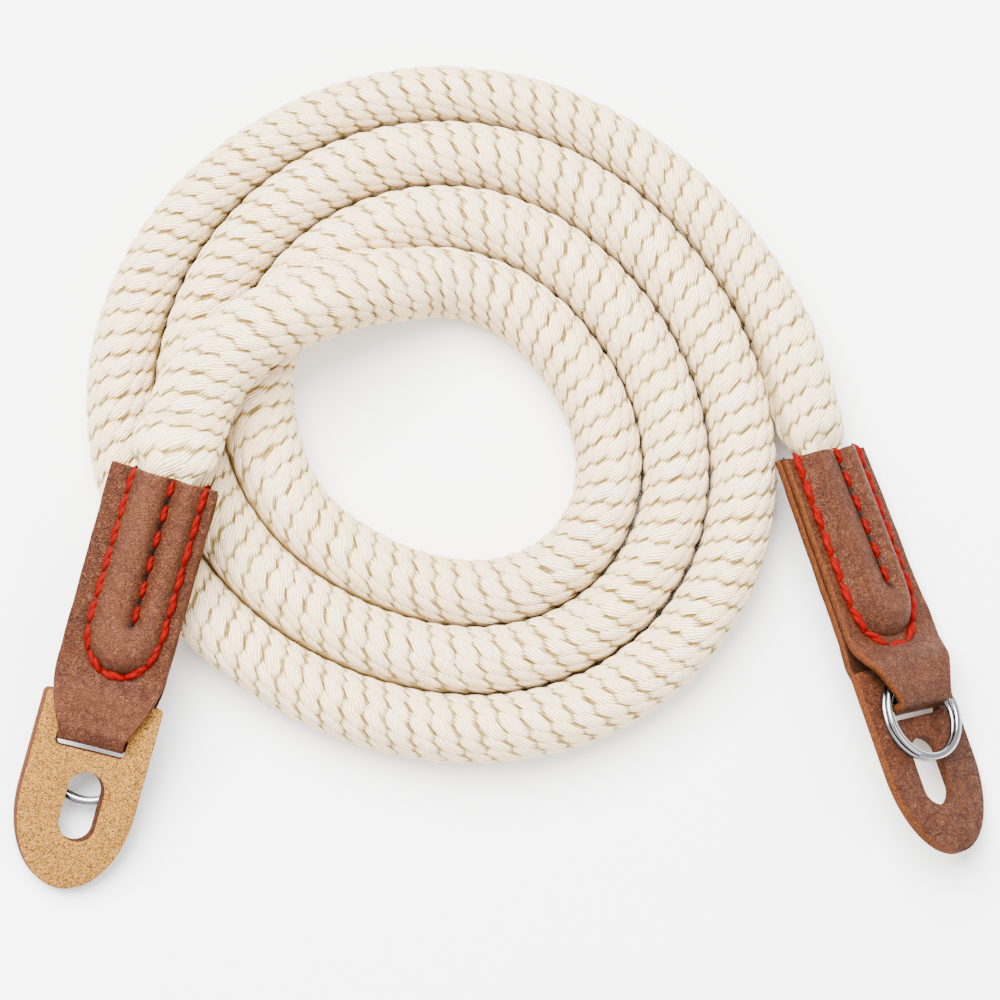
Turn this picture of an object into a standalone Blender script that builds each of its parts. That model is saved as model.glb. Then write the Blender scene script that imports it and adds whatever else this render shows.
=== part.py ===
"""Camera shoulder strap laid down as a flat coil: a braided cotton rope, and at each end of it a folded
leather tab sewn over the flattened rope, a slotted leather guard and a split ring. Metres, +Z up.

Each end has its own flat frame: x runs across the leather, y up the strap towards the rope, and z out of the
side where the ring lies. A distance called "down" runs from the tab's mouth, where the rope goes in, to the tip.
"""

import math

import bmesh
import bpy
from mathutils import Matrix, Vector

# Rope
ROPE_DIAMETER = 0.0104
TURN_GAP = 0.00045  # between two turns that lie side by side
ROPE_SIDES = 16
ROPE_STEP = 0.0075  # between two sections of the free rope

# Coil, seen from above: angles in degrees from +X, counted from the outer end inwards
EYE_RADIUS = 0.0170  # mean radius of the open middle
COIL_TURNS = 3
COIL_START = 18
CROSSING_START = 90  # after the last whole turn
POINT_EVERY = 15
OUTER_SQUEEZE = 0.0016  # how much narrower the outermost turn is at its top
SQUEEZE_GROWS = (0, 55)  # degrees along the coil over which it narrows
SQUEEZE_FADES = (115, 165)  # and widens again

# The eye isn't round: (times round a turn, share of EYE_RADIUS along cos, share along sin)
EYE_SHAPE = (
    (1, 0.092, 0.072),
    (2, -0.006, -0.122),
    (3, -0.020, -0.035),
)

# The inner end climbs out over the turns: (angle past the coil, turns outwards, rope diameters up)
CROSSING = (
    (15, 0.00, 0.33),
    (31, 0.18, 0.61),
    (46, 0.44, 0.87),
    (57, 0.76, 0.99),
    (66, 1.07, 1.02),
    (74, 1.38, 1.02),
    (81, 1.62, 1.03),
    (88, 1.84, 1.06),
    (94, 2.01, 1.14),
)
CROSSING_WIDTH = 0.0118  # no neighbours press the rope there
CROSSING_WIDENS = (0.045, 0.075)  # distances from the tab's mouth between which it widens

# Leather
LEATHER = 0.0013
LAYER_GAP = 0.0003  # between the two layers of a tab
CLEAR = 0.0003
TAB_WIDTH = 0.0171
TAB_FOLD = 0.0425  # down to the middle of the leather at the fold
FOLD_BOW = 0.0008  # how far the ring draws the corners of the fold down

# Split ring
RING_DIAMETER = 0.0150
RING_WIRE = 0.00125  # across the flat of the wire
RING_LAYER = 0.00095  # thickness of one coil
RING_LAYER_GAP = 0.0001
RING_CHAMFER = 0.0002
RING_JOG = 36  # degrees over which one coil steps up to the other
RING_END_GAP = 4  # degrees between that step and each end of the wire
RING_STEPS = 40
RING_HANG = 0.0030  # the ring's middle hangs at most this far below the corners of the fold
RING_SLID = {"left": 0.0, "right": 0.0012}  # how far each ring has slid up from there

# The rope makes two ridges in the leather, side by side, that meet in one round end
SHOULDER_RUN = 0.0064  # the layers part this far above the ring
RIDGE_HEIGHT = 0.0024
RIDGE_WIDTH = 0.0120  # across both ridges
RIDGE_CREST = 0.22  # share of the width, to either side of the middle, that stays flat on top
RIDGE_ROUNDNESS = 0.6
RIDGE_PAST_SHOULDER = 0.0005
ROPE_SHORT = 0.0035  # the rope ends this far before the ridges
SEAM_SHORT = 0.0086  # and the seam that parts the ridges this far
SEAM_DEPTH = 0.65  # share of the ridges' height
SEAM_WIDTH = 0.0020

# The rope inside a tab is pressed flat
ROPE_IN_STEPS = 9
LEAD_OUT = 0.0030  # it leaves the tab straight for this far
TIP_RUN = 0.0070  # its cut end is rounded over this length
TIP_LEFT = 0.03  # share of the section's square that is left at the cut end
EDGE_ROOM = 0.00105  # between the pressed rope and the ridge's foot
BOXINESS = 1.6  # over 1 fills the flat section's corners
PRESSED = 0.45  # share of the rope's thickness just outside the mouth

# Outside a tab the rope swells and then grows round: shares of the swell's run where sections are made
SWELL_STEPS = (0.02, 0.06, 0.12, 0.22, 0.38, 0.60, 0.80)
# and the stretches, as shares of that run, over which it does so
SPREADS = (0.00, 0.10)
UNLOBES = (0.00, 0.20)
FIRST_RISE = (0.00, 0.25)
LAST_RISE = (0.10, 1.00)
NARROWS = (0.15, 1.00)

# Where the layers run below the shoulder: (share of the way to the fold, share of the rise over the ring)
OVER_RING = (
    (0.00, 0.00),
    (0.18, 0.21),
    (0.36, 0.66),
    (0.50, 0.96),
    (0.64, 1.00),
    (0.86, 1.00),
    (0.972, 0.90),
    (0.997, 0.36),
)
# and on the other side: (share of the way to the fold, share of the step over the guard)
UNDER_GUARD = (
    (0.985, 0.60),
    (0.90, 1.00),
    (0.60, 1.00),
    (0.36, 0.97),
    (0.18, 0.45),
    (0.00, 0.00),
)
# The tab narrows to its neck: (share of the way from the shoulder to the fold, share of the narrowing)
NECK_OUTLINE = (
    (0.00, 0.00),
    (0.27, 0.00),
    (0.50, 0.24),
    (0.70, 0.66),
    (0.81, 1.00),
    (1.00, 1.00),
)

# Guard
GUARD_WIDTH = 0.0184
GUARD_THICKNESS = 0.0016
GUARD_LENGTH = 0.0306
GUARD_BELOW_SHOULDER = 0.0052
GUARD_CORNER = 0.0008
GUARD_TIP_ROUND = 0.0140  # the tip is half an ellipse this long
SLOT_LOWER_GAP = 0.0012  # the daylight below the fold
HOLE_FROM_TIP = 0.0133  # from the middle of the hole
HOLE_LENGTH = 0.0110
HOLE_WIDTH = 0.0058

# How the ends lie: the outer end beside the coil, on its right edge, and the inner end across the turns
OUTER_END_BEFORE = 21.9  # degrees before the coil's start
OUTER_END_TURNS = 0.11  # beyond the outer turn
OUTER_END_OUTWARDS = 21.8  # degrees off the turn's own direction
OUTER_END_ROLL = 35
OUTER_SWELL = 0.0122
OUTER_SWELL_RUN = 0.018
INNER_END_PAST = 104.3  # degrees past the coil's end
INNER_END_TURNS = 2.43
INNER_END_OUTWARDS = 30.9
INNER_END_SEAT = 0.0165  # down to where the tab rides on the outer turn
INNER_SWELL = 0.0142
INNER_SWELL_RUN = 0.030
RING_TURNED = {"left": 200, "right": 50}  # where each ring's wire begins

LEATHER_BROWN = (0.33, 0.13, 0.06, 1)
SUEDE_TAN = (0.58, 0.37, 0.15, 1)
COTTON_CREAM = (0.87, 0.80, 0.67, 1)
NICKEL_GREY = (0.55, 0.55, 0.57, 1)

ROPE_RADIUS = ROPE_DIAMETER / 2
PITCH = ROPE_DIAMETER + TURN_GAP
COIL_END = 360 * COIL_TURNS + CROSSING_START
RING_THICKNESS = 2 * RING_LAYER + RING_LAYER_GAP
LAYER_LEVEL = (LAYER_GAP + LEATHER) / 2  # the middle of each layer where they lie flat
RING_LEVEL = GUARD_THICKNESS / 2 + CLEAR + RING_THICKNESS / 2
OVER_RING_LEVEL = RING_LEVEL + RING_THICKNESS / 2 + CLEAR + LEATHER / 2
UNDER_GUARD_LEVEL = GUARD_THICKNESS / 2 + CLEAR + LEATHER / 2

# Places down from the tab's mouth
RING_INNER_RADIUS = RING_DIAMETER / 2 - RING_WIRE
NECK_WIDTH = 2 * (math.sqrt(RING_INNER_RADIUS**2 - RING_HANG**2) - CLEAR)
RING_MIDDLE = TAB_FOLD - LEATHER / 2 + FOLD_BOW + RING_HANG
SHOULDER = RING_MIDDLE - max(RING_SLID.values()) - RING_DIAMETER / 2 - SHOULDER_RUN
RIDGE_END = SHOULDER + RIDGE_PAST_SHOULDER
ROPE_IN = RIDGE_END - ROPE_SHORT
SEAM_END = RIDGE_END - SEAM_SHORT
GUARD_TOP = SHOULDER + GUARD_BELOW_SHOULDER
GUARD_TIP = GUARD_TOP + GUARD_LENGTH
HOLE_MIDDLE = GUARD_TIP - HOLE_FROM_TIP


def clear_scene():
    for leftover in list(bpy.data.objects):
        bpy.data.objects.remove(leftover, do_unlink=True)


def material(name, colour, roughness, metallic=0.0):
    made = bpy.data.materials.new(name)
    made.use_nodes = True
    shader = made.node_tree.nodes["Principled BSDF"]
    shader.inputs["Base Color"].default_value = colour
    shader.inputs["Roughness"].default_value = roughness
    shader.inputs["Metallic"].default_value = metallic
    return made


def share(value, low, high):
    return min(max((value - low) / (high - low), 0.0), 1.0)


def ease(value, low, high):
    x = share(value, low, high)
    return x * x * (3 - 2 * x)


def read_table(table, at):
    """The second column of a table where its first column is at, between its rows in straight lines."""
    for (x0, y0), (x1, y1) in zip(table, table[1:]):
        if at <= x1:
            return y0 + (y1 - y0) * share(at, x0, x1)
    return table[-1][1]


def ridge(down, across):
    """How far the rope inside lifts each layer of the leather."""
    straight = RIDGE_END - RIDGE_WIDTH / 2
    reach = math.hypot(across, max(down - straight, 0.0))
    side = share(reach, RIDGE_CREST * RIDGE_WIDTH, RIDGE_WIDTH / 2)
    seam = 1 - ease(down, SEAM_END, SEAM_END + SEAM_WIDTH)
    dip = SEAM_DEPTH * seam * math.exp(-((2 * across / SEAM_WIDTH) ** 2))
    return RIDGE_HEIGHT * (1 - side**2) ** RIDGE_ROUNDNESS * (1 - dip)


def squeeze(angle):
    """How much narrower the rope is, angle degrees along the coil."""
    return OUTER_SQUEEZE * ease(angle, *SQUEEZE_GROWS) * (1 - ease(angle, *SQUEEZE_FADES))


def turn_radius(angle):
    """The radius of the rope's centreline, angle degrees along the coil."""
    turn = math.radians(angle)
    shape = sum(c * math.cos(n * turn) + s * math.sin(n * turn) for n, c, s in EYE_SHAPE)
    turns_left = (COIL_END - angle) / 360
    return EYE_RADIUS * (1 + shape) + ROPE_RADIUS + PITCH * turns_left - squeeze(angle) / 2


def polar(radius, angle, height):
    turn = math.radians(angle)
    return Vector((radius * math.cos(turn), radius * math.sin(turn), height))


def crossing_point(past, turns_out, height):
    """A point over the coil, measured from where the innermost turn would run on."""
    angle = COIL_END + past
    return polar(turn_radius(angle) + turns_out * PITCH, angle, height)


def outer_end_frame():
    """The outer end rests on the right edge of its tab, rolled over by the twist of the rope."""
    roll = math.radians(OUTER_END_ROLL)
    below = UNDER_GUARD_LEVEL + LEATHER / 2
    height = TAB_WIDTH / 2 * math.sin(roll) + below * math.cos(roll)
    angle = COIL_START - OUTER_END_BEFORE
    place = polar(turn_radius(angle) + OUTER_END_TURNS * PITCH, angle, height)
    heading = Matrix.Rotation(math.radians(angle + OUTER_END_OUTWARDS), 4, "Z")
    return Matrix.Translation(place) @ heading @ Matrix.Rotation(roll, 4, "Y")


def inner_end_frame():
    """The inner end rides on the outer turn and slopes down to the tip of its guard, ring side down."""
    seat_height = ROPE_DIAMETER + 2 * CLEAR + LAYER_LEVEL + LEATHER / 2 + RIDGE_HEIGHT
    slope = math.atan2(seat_height - GUARD_THICKNESS / 2, GUARD_TIP - INNER_END_SEAT)
    height = seat_height + INNER_END_SEAT * math.tan(slope)
    place = crossing_point(INNER_END_PAST, INNER_END_TURNS, height)
    turned = COIL_END + INNER_END_PAST + 180 - INNER_END_OUTWARDS
    heading = Matrix.Rotation(math.radians(turned), 4, "Z")
    tilt = Matrix.Rotation(slope, 4, "X") @ Matrix.Rotation(math.pi, 4, "Y")
    return Matrix.Translation(place) @ heading @ tilt


def route_points(outer, inner):
    """The rope's route, from its end in the outer tab to its end in the inner one."""
    inside = [-LEAD_OUT] + [ROPE_IN * i / 4 for i in range(5)]
    points = [outer @ Vector((0, -down, 0)) for down in reversed(inside)]
    count = round((COIL_END - COIL_START) / POINT_EVERY)
    for i in range(count + 1):
        angle = COIL_START + (COIL_END - COIL_START) * i / count
        points.append(polar(turn_radius(angle), angle, ROPE_RADIUS))
    for past, turns_out, lift in CROSSING:
        points.append(crossing_point(past, turns_out, ROPE_RADIUS + lift * ROPE_DIAMETER))
    points += [inner @ Vector((0, -down, 0)) for down in inside]
    return points


def smooth_line(points, pieces=12):
    """A smooth curve through the points, as many short straight pieces."""
    ends = [2 * points[0] - points[1]] + points + [2 * points[-1] - points[-2]]
    line = []
    for a, b, c, d in zip(ends, ends[1:], ends[2:], ends[3:]):
        leave = (c - a) / 2 * ((c - b).length * 2 / ((b - a).length + (c - b).length))
        arrive = (d - b) / 2 * ((c - b).length * 2 / ((c - b).length + (d - c).length))
        for i in range(pieces):
            t = i / pieces
            line.append(
                (2 * t**3 - 3 * t**2 + 1) * b
                + (t**3 - 2 * t**2 + t) * leave
                + (3 * t**2 - 2 * t**3) * c
                + (t**3 - t**2) * arrive
            )
    return line + [points[-1]]


class Route:
    """A line that is read by the distance along it."""

    def __init__(self, line):
        self.line = line
        self.along = [0.0]
        for a, b in zip(line, line[1:]):
            self.along.append(self.along[-1] + (b - a).length)
        self.length = self.along[-1]

    def at(self, distance):
        distance = min(max(distance, 0.0), self.length)
        i = 0
        while i < len(self.line) - 2 and self.along[i + 1] < distance:
            i += 1
        part = (distance - self.along[i]) / (self.along[i + 1] - self.along[i])
        return self.line[i].lerp(self.line[i + 1], part)

    def direction(self, distance, reach=0.0015):
        return (self.at(distance + reach) - self.at(distance - reach)).normalized()


def section_distances(length):
    """Close sections near both ends, and even ones between them."""
    inside = [ROPE_IN * i / ROPE_IN_STEPS for i in range(ROPE_IN_STEPS + 1)]
    start = inside + [ROPE_IN + step * OUTER_SWELL_RUN for step in SWELL_STEPS]
    finish = inside + [ROPE_IN + step * INNER_SWELL_RUN for step in SWELL_STEPS]
    first = ROPE_IN + OUTER_SWELL_RUN
    free = length - first - ROPE_IN - INNER_SWELL_RUN
    count = round(free / ROPE_STEP)
    middle = [first + free * i / count for i in range(count + 1)]
    return start + middle + [length - distance for distance in reversed(finish)]


def room_in_tab(down, across):
    """Half the height that the leather leaves for the rope, CLEAR of it."""
    offsets = (-1, 0, 1)
    step = ROPE_IN / ROPE_IN_STEPS
    lowest = min(ridge(down + step * i, across + LEATHER / 2 * j) for i in offsets for j in offsets)
    return max(lowest + LAYER_GAP / 2 - CLEAR, LAYER_GAP / 3)


def rope_section(outside, free_width, swell, swell_run):
    """The section's (across, up) points at a distance outside the tab's mouth, negative inside it."""

    def grown(stretch):
        return ease(outside, stretch[0] * swell_run, stretch[1] * swell_run)

    inside_half = RIDGE_WIDTH / 2 - EDGE_ROOM
    half = inside_half + (swell / 2 - inside_half) * grown(SPREADS)
    half += (free_width / 2 - half) * grown(NARROWS)
    rise = PRESSED * grown(FIRST_RISE) + (1 - PRESSED) * grown(LAST_RISE)
    thick = ROPE_RADIUS * (PRESSED + (1 - PRESSED) * rise)
    round_share = grown(UNLOBES)
    down = max(-outside, 0.0)
    end = math.sqrt(1 - (1 - TIP_LEFT) * share(down, ROPE_IN - TIP_RUN, ROPE_IN) ** 2)
    points = []
    for i in range(ROPE_SIDES):
        turn = 2 * math.pi * i / ROPE_SIDES
        across = half * end * math.cos(turn)
        around = math.sin(turn)
        boxy = math.copysign(min(BOXINESS * abs(around), 1.0), around)
        room = room_in_tab(down, across) * end * boxy
        points.append((across, thick * around * round_share + room * (1 - round_share)))
    return points


def loft(name, rings):
    """A closed body through rings of points, with a flat cap on each end."""
    shape = bmesh.new()
    loops = [[shape.verts.new(point) for point in ring] for ring in rings]
    for near, far in zip(loops, loops[1:]):
        for i in range(len(near)):
            j = (i + 1) % len(near)
            shape.faces.new((near[i], near[j], far[j], far[i]))
    shape.faces.new(reversed(loops[0]))
    shape.faces.new(loops[-1])
    bmesh.ops.recalc_face_normals(shape, faces=shape.faces)
    mesh = bpy.data.meshes.new(name)
    shape.to_mesh(mesh)
    shape.free()
    mesh.shade_smooth()
    return bpy.data.objects.new(name, mesh)


def outer_turn_squeeze(place):
    """The squeeze at a point of the rope, where that point lies on the outermost turn."""
    angle = math.degrees(math.atan2(place.y, place.x)) % 360
    outermost = math.hypot(place.x, place.y) > turn_radius(angle) - PITCH / 2
    return squeeze(angle) if outermost else 0.0


def make_rope(outer, inner):
    route = Route(smooth_line(route_points(outer, inner)))
    rings = []
    for distance in section_distances(route.length):
        from_outer = distance - ROPE_IN
        from_inner = route.length - distance - ROPE_IN
        if from_outer < from_inner:
            narrowed = ROPE_DIAMETER - outer_turn_squeeze(route.at(distance))
            section = rope_section(from_outer, narrowed, OUTER_SWELL, OUTER_SWELL_RUN)
            roll = math.radians(OUTER_END_ROLL) * (1 - ease(from_outer, 0.0, 2 * OUTER_SWELL_RUN))
        else:
            loose = 1 - ease(from_inner, *CROSSING_WIDENS)
            free_width = ROPE_DIAMETER + (CROSSING_WIDTH - ROPE_DIAMETER) * loose
            section = rope_section(from_inner, free_width, INNER_SWELL, INNER_SWELL_RUN)
            roll = 0.0
        along = route.direction(distance)
        across = along.cross(Vector((0, 0, 1))).normalized()
        up = across.cross(along)
        tilted = Matrix.Rotation(roll, 3, along)
        across = tilted @ across
        up = tilted @ up
        middle = route.at(distance)
        rings.append([middle + across * x + up * z for x, z in section])
    return loft("rope", rings)


def strip_rows():
    """The folded strip from one mouth edge round the ring to the other: (down, level, side)."""
    flat = [SHOULDER * i / 12 for i in range(12)]
    way = TAB_FOLD - SHOULDER
    rows = [(down, LAYER_LEVEL, 1) for down in flat]
    for along, rise in OVER_RING:
        rows.append((SHOULDER + way * along, LAYER_LEVEL + (OVER_RING_LEVEL - LAYER_LEVEL) * rise, 1))
    rows.append((TAB_FOLD, 0.0, 1))
    for along, step in UNDER_GUARD:
        rows.append((SHOULDER + way * along, LAYER_LEVEL + (UNDER_GUARD_LEVEL - LAYER_LEVEL) * step, -1))
    rows += [(down, LAYER_LEVEL, -1) for down in reversed(flat)]
    return rows


def make_tab(name):
    """One strip of leather: an open sheet with the ridges in it, thickened on both sides of its middle."""
    columns = (0.0, 0.08, 0.19, 0.34, 0.49, 0.60, 0.69, 0.84, 1.0)
    columns = [-column for column in reversed(columns[1:])] + list(columns)
    shape = bmesh.new()
    grid = []
    for down, level, side in strip_rows():
        narrowing = read_table(NECK_OUTLINE, (down - SHOULDER) / (TAB_FOLD - SHOULDER))
        half = (TAB_WIDTH + (NECK_WIDTH - TAB_WIDTH) * narrowing) / 2
        bow = FOLD_BOW * ease(down, SHOULDER, TAB_FOLD)
        row = []
        for column in columns:
            across = column * half
            lifted = side * (level + ridge(down, across))
            row.append(shape.verts.new((across, -down - bow * column**2, lifted)))
        grid.append(row)
    for near, far in zip(grid, grid[1:]):
        for i in range(len(near) - 1):
            shape.faces.new((near[i], near[i + 1], far[i + 1], far[i]))
    mesh = bpy.data.meshes.new(name)
    shape.to_mesh(mesh)
    shape.free()
    mesh.shade_smooth()
    tab = bpy.data.objects.new(name, mesh)
    wall = tab.modifiers.new("leather", "SOLIDIFY")
    wall.thickness = LEATHER
    wall.offset = 0.0
    return tab


def arc(middle, radius, first, last, steps):
    """Points round part of a circle in the flat frame, angles in degrees."""
    turns = [math.radians(first + (last - first) * i / steps) for i in range(steps + 1)]
    return [(middle[0] + radius * math.cos(t), middle[1] + radius * math.sin(t)) for t in turns]


def make_guard(name):
    """A flat tongue with a slot for the neck and an oval hole, cut from one sheet."""
    half = GUARD_WIDTH / 2
    corner = GUARD_CORNER
    outline = arc((half - corner, -GUARD_TOP - corner), corner, 0, 90, 3)
    outline += arc((corner - half, -GUARD_TOP - corner), corner, 90, 180, 3)
    stretch = GUARD_TIP_ROUND / half
    outline += [(x, y * stretch + GUARD_TIP_ROUND - GUARD_TIP) for x, y in arc((0, 0), half, 180, 360, 24)]
    slot_half = NECK_WIDTH / 2 + CLEAR
    slot_high = CLEAR - TAB_FOLD + LEATHER / 2
    slot_low = -TAB_FOLD - LEATHER / 2 - SLOT_LOWER_GAP
    slot = [(-slot_half, slot_low), (slot_half, slot_low), (slot_half, slot_high), (-slot_half, slot_high)]
    hole_half = HOLE_WIDTH / 2
    straight = HOLE_LENGTH / 2 - hole_half
    hole = arc((0, straight - HOLE_MIDDLE), hole_half, 0, 180, 12)
    hole += arc((0, -straight - HOLE_MIDDLE), hole_half, 180, 360, 12)
    curve = bpy.data.curves.new(name, "CURVE")
    curve.dimensions = "2D"
    curve.fill_mode = "BOTH"
    curve.extrude = GUARD_THICKNESS / 2
    for loop in (outline, slot, hole):
        spline = curve.splines.new("POLY")
        spline.points.add(len(loop) - 1)
        for point, (x, y) in zip(spline.points, loop):
            point.co = (x, y, 0, 1)
        spline.use_cyclic_u = True
    return bpy.data.objects.new(name, curve)


def make_ring(name, turned, slid):
    """Two flat coils of one wire: it steps up once, and each end stops at that step."""
    radius = (RING_DIAMETER - RING_WIRE) / 2
    pitch = RING_LAYER + RING_LAYER_GAP
    flat, high, cut = RING_WIRE / 2, RING_LAYER / 2, RING_CHAMFER
    profile = (
        (flat, high - cut),
        (flat - cut, high),
        (cut - flat, high),
        (-flat, high - cut),
        (-flat, cut - high),
        (cut - flat, -high),
        (flat - cut, -high),
        (flat, cut - high),
    )
    step_ends = 360 - RING_END_GAP / 2
    last = 2 * 360 - RING_JOG - RING_END_GAP
    rings = []
    for i in range(2 * RING_STEPS + 1):
        angle = last * i / (2 * RING_STEPS)
        level = RING_LEVEL + pitch * (ease(angle, step_ends - RING_JOG, step_ends) - 0.5)
        turn = math.radians(angle + turned)
        out = Vector((math.cos(turn), math.sin(turn), 0))
        middle = Vector((0, slid - RING_MIDDLE, level))
        rings.append([middle + out * (radius + x) + Vector((0, 0, z)) for x, z in profile])
    return loft(name, rings)


def add_part(collection, part, finish, parent=None):
    collection.objects.link(part)
    part.data.materials.append(finish)
    part.parent = parent


def set_on_middle(collection):
    """Moves the whole strap so that its box stands on the middle of its base."""
    bpy.context.view_layer.update()
    graph = bpy.context.evaluated_depsgraph_get()
    points = []
    for part in collection.objects:
        if part.type in ("MESH", "CURVE"):
            seen = part.evaluated_get(graph)
            points += [seen.matrix_world @ vertex.co for vertex in seen.to_mesh().vertices]
            seen.to_mesh_clear()
    low = [min(point[axis] for point in points) for axis in range(3)]
    high = [max(point[axis] for point in points) for axis in range(3)]
    shift = Matrix.Translation((-(low[0] + high[0]) / 2, -(low[1] + high[1]) / 2, -low[2]))
    for part in collection.objects:
        if part.parent is None:
            part.matrix_world = shift @ part.matrix_world


def main():
    clear_scene()
    leather = material("vegetable_tanned_leather", LEATHER_BROWN, 0.45)
    suede = material("suede_split_leather", SUEDE_TAN, 0.85)
    cotton = material("braided_cotton", COTTON_CREAM, 0.9)
    nickel = material("nickel_plated_steel", NICKEL_GREY, 0.2, 1.0)
    strap = bpy.data.collections.new("camera_shoulder_strap")
    bpy.context.scene.collection.children.link(strap)
    frames = {"left": inner_end_frame(), "right": outer_end_frame()}
    add_part(strap, make_rope(frames["right"], frames["left"]), cotton)
    for side, frame in frames.items():
        end = bpy.data.objects.new("end_" + side, None)
        end.matrix_world = frame
        strap.objects.link(end)
        add_part(strap, make_tab("tab_" + side), leather, end)
        add_part(strap, make_guard("guard_" + side), suede, end)
        add_part(strap, make_ring("ring_" + side, RING_TURNED[side], RING_SLID[side]), nickel, end)
    set_on_middle(strap)


main()
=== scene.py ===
"""Looks of the camera shoulder strap: a coiled rope braided in twelve columns of cotton strands, two sewn
leather tabs, two slotted leather guards and two split rings, on a pale floor in soft light. In metres.

Each end of the strap has its own flat frame, as in the CAD: x runs across the leather, y up the strap towards
the rope, and z out of the side where the ring lies. "Down" runs from the tab's mouth to the guard's tip.
"""

import math

import bpy
import numpy as np
from mathutils import Matrix, Vector


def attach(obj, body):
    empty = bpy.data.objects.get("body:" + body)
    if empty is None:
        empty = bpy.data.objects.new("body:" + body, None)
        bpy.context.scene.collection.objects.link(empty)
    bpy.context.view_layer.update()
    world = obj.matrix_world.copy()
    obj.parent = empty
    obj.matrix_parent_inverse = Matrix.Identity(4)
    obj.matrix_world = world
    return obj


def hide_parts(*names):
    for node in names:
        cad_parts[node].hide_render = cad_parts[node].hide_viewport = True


bl_info = {
    "name": "Camera Shoulder Strap",
    "version": (1, 0, 0),
    "blender": (4, 5, 0),
    "location": "View3D > Sidebar > Strap",
    "description": "Builds the looks of a braided camera strap around its CAD frame",
    "category": "Object",
}

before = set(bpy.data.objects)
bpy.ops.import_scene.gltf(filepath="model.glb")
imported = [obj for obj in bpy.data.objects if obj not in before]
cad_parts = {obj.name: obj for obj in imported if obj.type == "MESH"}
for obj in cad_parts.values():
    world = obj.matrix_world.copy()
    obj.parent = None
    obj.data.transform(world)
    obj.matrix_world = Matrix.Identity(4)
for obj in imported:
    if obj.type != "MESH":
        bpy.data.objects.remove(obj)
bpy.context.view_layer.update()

# The coil and its two ends, as the CAD has them
COIL_MIDDLE = Vector((-0.009527, 0.006029, 0.000049))
ROPE_DIAMETER = 0.0104
TURN_GAP = 0.00045
EYE_RADIUS = 0.0170
COIL_TURNS = 3
COIL_START = 18
CROSSING_START = 90
POINT_EVERY = 15
OUTER_SQUEEZE = 0.0016
SQUEEZE_GROWS = (0, 55)
SQUEEZE_FADES = (115, 165)
EYE_SHAPE = ((1, 0.092, 0.072), (2, -0.006, -0.122), (3, -0.020, -0.035))
CROSSING = (
    (15, 0.00, 0.33),
    (31, 0.18, 0.61),
    (46, 0.44, 0.87),
    (57, 0.76, 0.99),
    (66, 1.07, 1.02),
    (74, 1.38, 1.02),
    (81, 1.62, 1.03),
    (88, 1.84, 1.06),
    (94, 2.01, 1.14),
)
CROSSING_WIDTH = 0.0118
CROSSING_WIDENS = (0.045, 0.075)
LEATHER = 0.0013
LAYER_GAP = 0.0003
CLEAR = 0.0003
TAB_WIDTH = 0.0171
TAB_FOLD = 0.0425
FOLD_BOW = 0.0008
RING_DIAMETER = 0.0150
RING_WIRE = 0.00125
RING_LAYER = 0.00095
RING_LAYER_GAP = 0.0001
RING_JOG = 36
RING_END_GAP = 4
RING_HANG = 0.0030
RING_SLID = {"left": 0.0, "right": 0.0012}
RING_TURNED = {"left": 200, "right": 50}
SHOULDER_RUN = 0.0064
RIDGE_HEIGHT = 0.0024
RIDGE_WIDTH = 0.0120
RIDGE_CREST = 0.22
RIDGE_PAST_SHOULDER = 0.0005
ROPE_SHORT = 0.0035
SEAM_SHORT = 0.0086
ROPE_IN_STEPS = 9
LEAD_OUT = 0.0030
EDGE_ROOM = 0.00105
BOXINESS = 1.6
PRESSED = 0.45
SPREADS = (0.00, 0.10)
UNLOBES = (0.00, 0.20)
FIRST_RISE = (0.00, 0.25)
LAST_RISE = (0.10, 1.00)
NARROWS = (0.15, 1.00)
OVER_RING = (
    (0.00, 0.00),
    (0.18, 0.21),
    (0.36, 0.66),
    (0.50, 0.96),
    (0.64, 1.00),
    (0.86, 1.00),
    (0.972, 0.90),
    (0.997, 0.36),
)
UNDER_GUARD = ((0.985, 0.60), (0.90, 1.00), (0.60, 1.00), (0.36, 0.97), (0.18, 0.45), (0.00, 0.00))
GUARD_WIDTH = 0.0184
GUARD_THICKNESS = 0.0016
GUARD_LENGTH = 0.0306
GUARD_BELOW_SHOULDER = 0.0052
GUARD_CORNER = 0.0008
GUARD_TIP_ROUND = 0.0140
SLOT_LOWER_GAP = 0.0012
HOLE_FROM_TIP = 0.0133
HOLE_LENGTH = 0.0110
HOLE_WIDTH = 0.0058
OUTER_END_BEFORE = 21.9
OUTER_END_TURNS = 0.11
OUTER_END_OUTWARDS = 21.8
OUTER_END_ROLL = 35
OUTER_SWELL = 0.0122
OUTER_SWELL_RUN = 0.018
INNER_END_PAST = 104.3
INNER_END_TURNS = 2.43
INNER_END_OUTWARDS = 30.9
INNER_END_SEAT = 0.0165
INNER_SWELL = 0.0142
INNER_SWELL_RUN = 0.030

ROPE_RADIUS = ROPE_DIAMETER / 2
PITCH = ROPE_DIAMETER + TURN_GAP
COIL_END = 360 * COIL_TURNS + CROSSING_START
RING_THICKNESS = 2 * RING_LAYER + RING_LAYER_GAP
LAYER_LEVEL = (LAYER_GAP + LEATHER) / 2
RING_LEVEL = GUARD_THICKNESS / 2 + CLEAR + RING_THICKNESS / 2
OVER_RING_LEVEL = RING_LEVEL + RING_THICKNESS / 2 + CLEAR + LEATHER / 2
UNDER_GUARD_LEVEL = GUARD_THICKNESS / 2 + CLEAR + LEATHER / 2
RING_INNER_RADIUS = RING_DIAMETER / 2 - RING_WIRE
NECK_WIDTH = 2 * (math.sqrt(RING_INNER_RADIUS**2 - RING_HANG**2) - CLEAR)
RING_MIDDLE = TAB_FOLD - LEATHER / 2 + FOLD_BOW + RING_HANG
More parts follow.
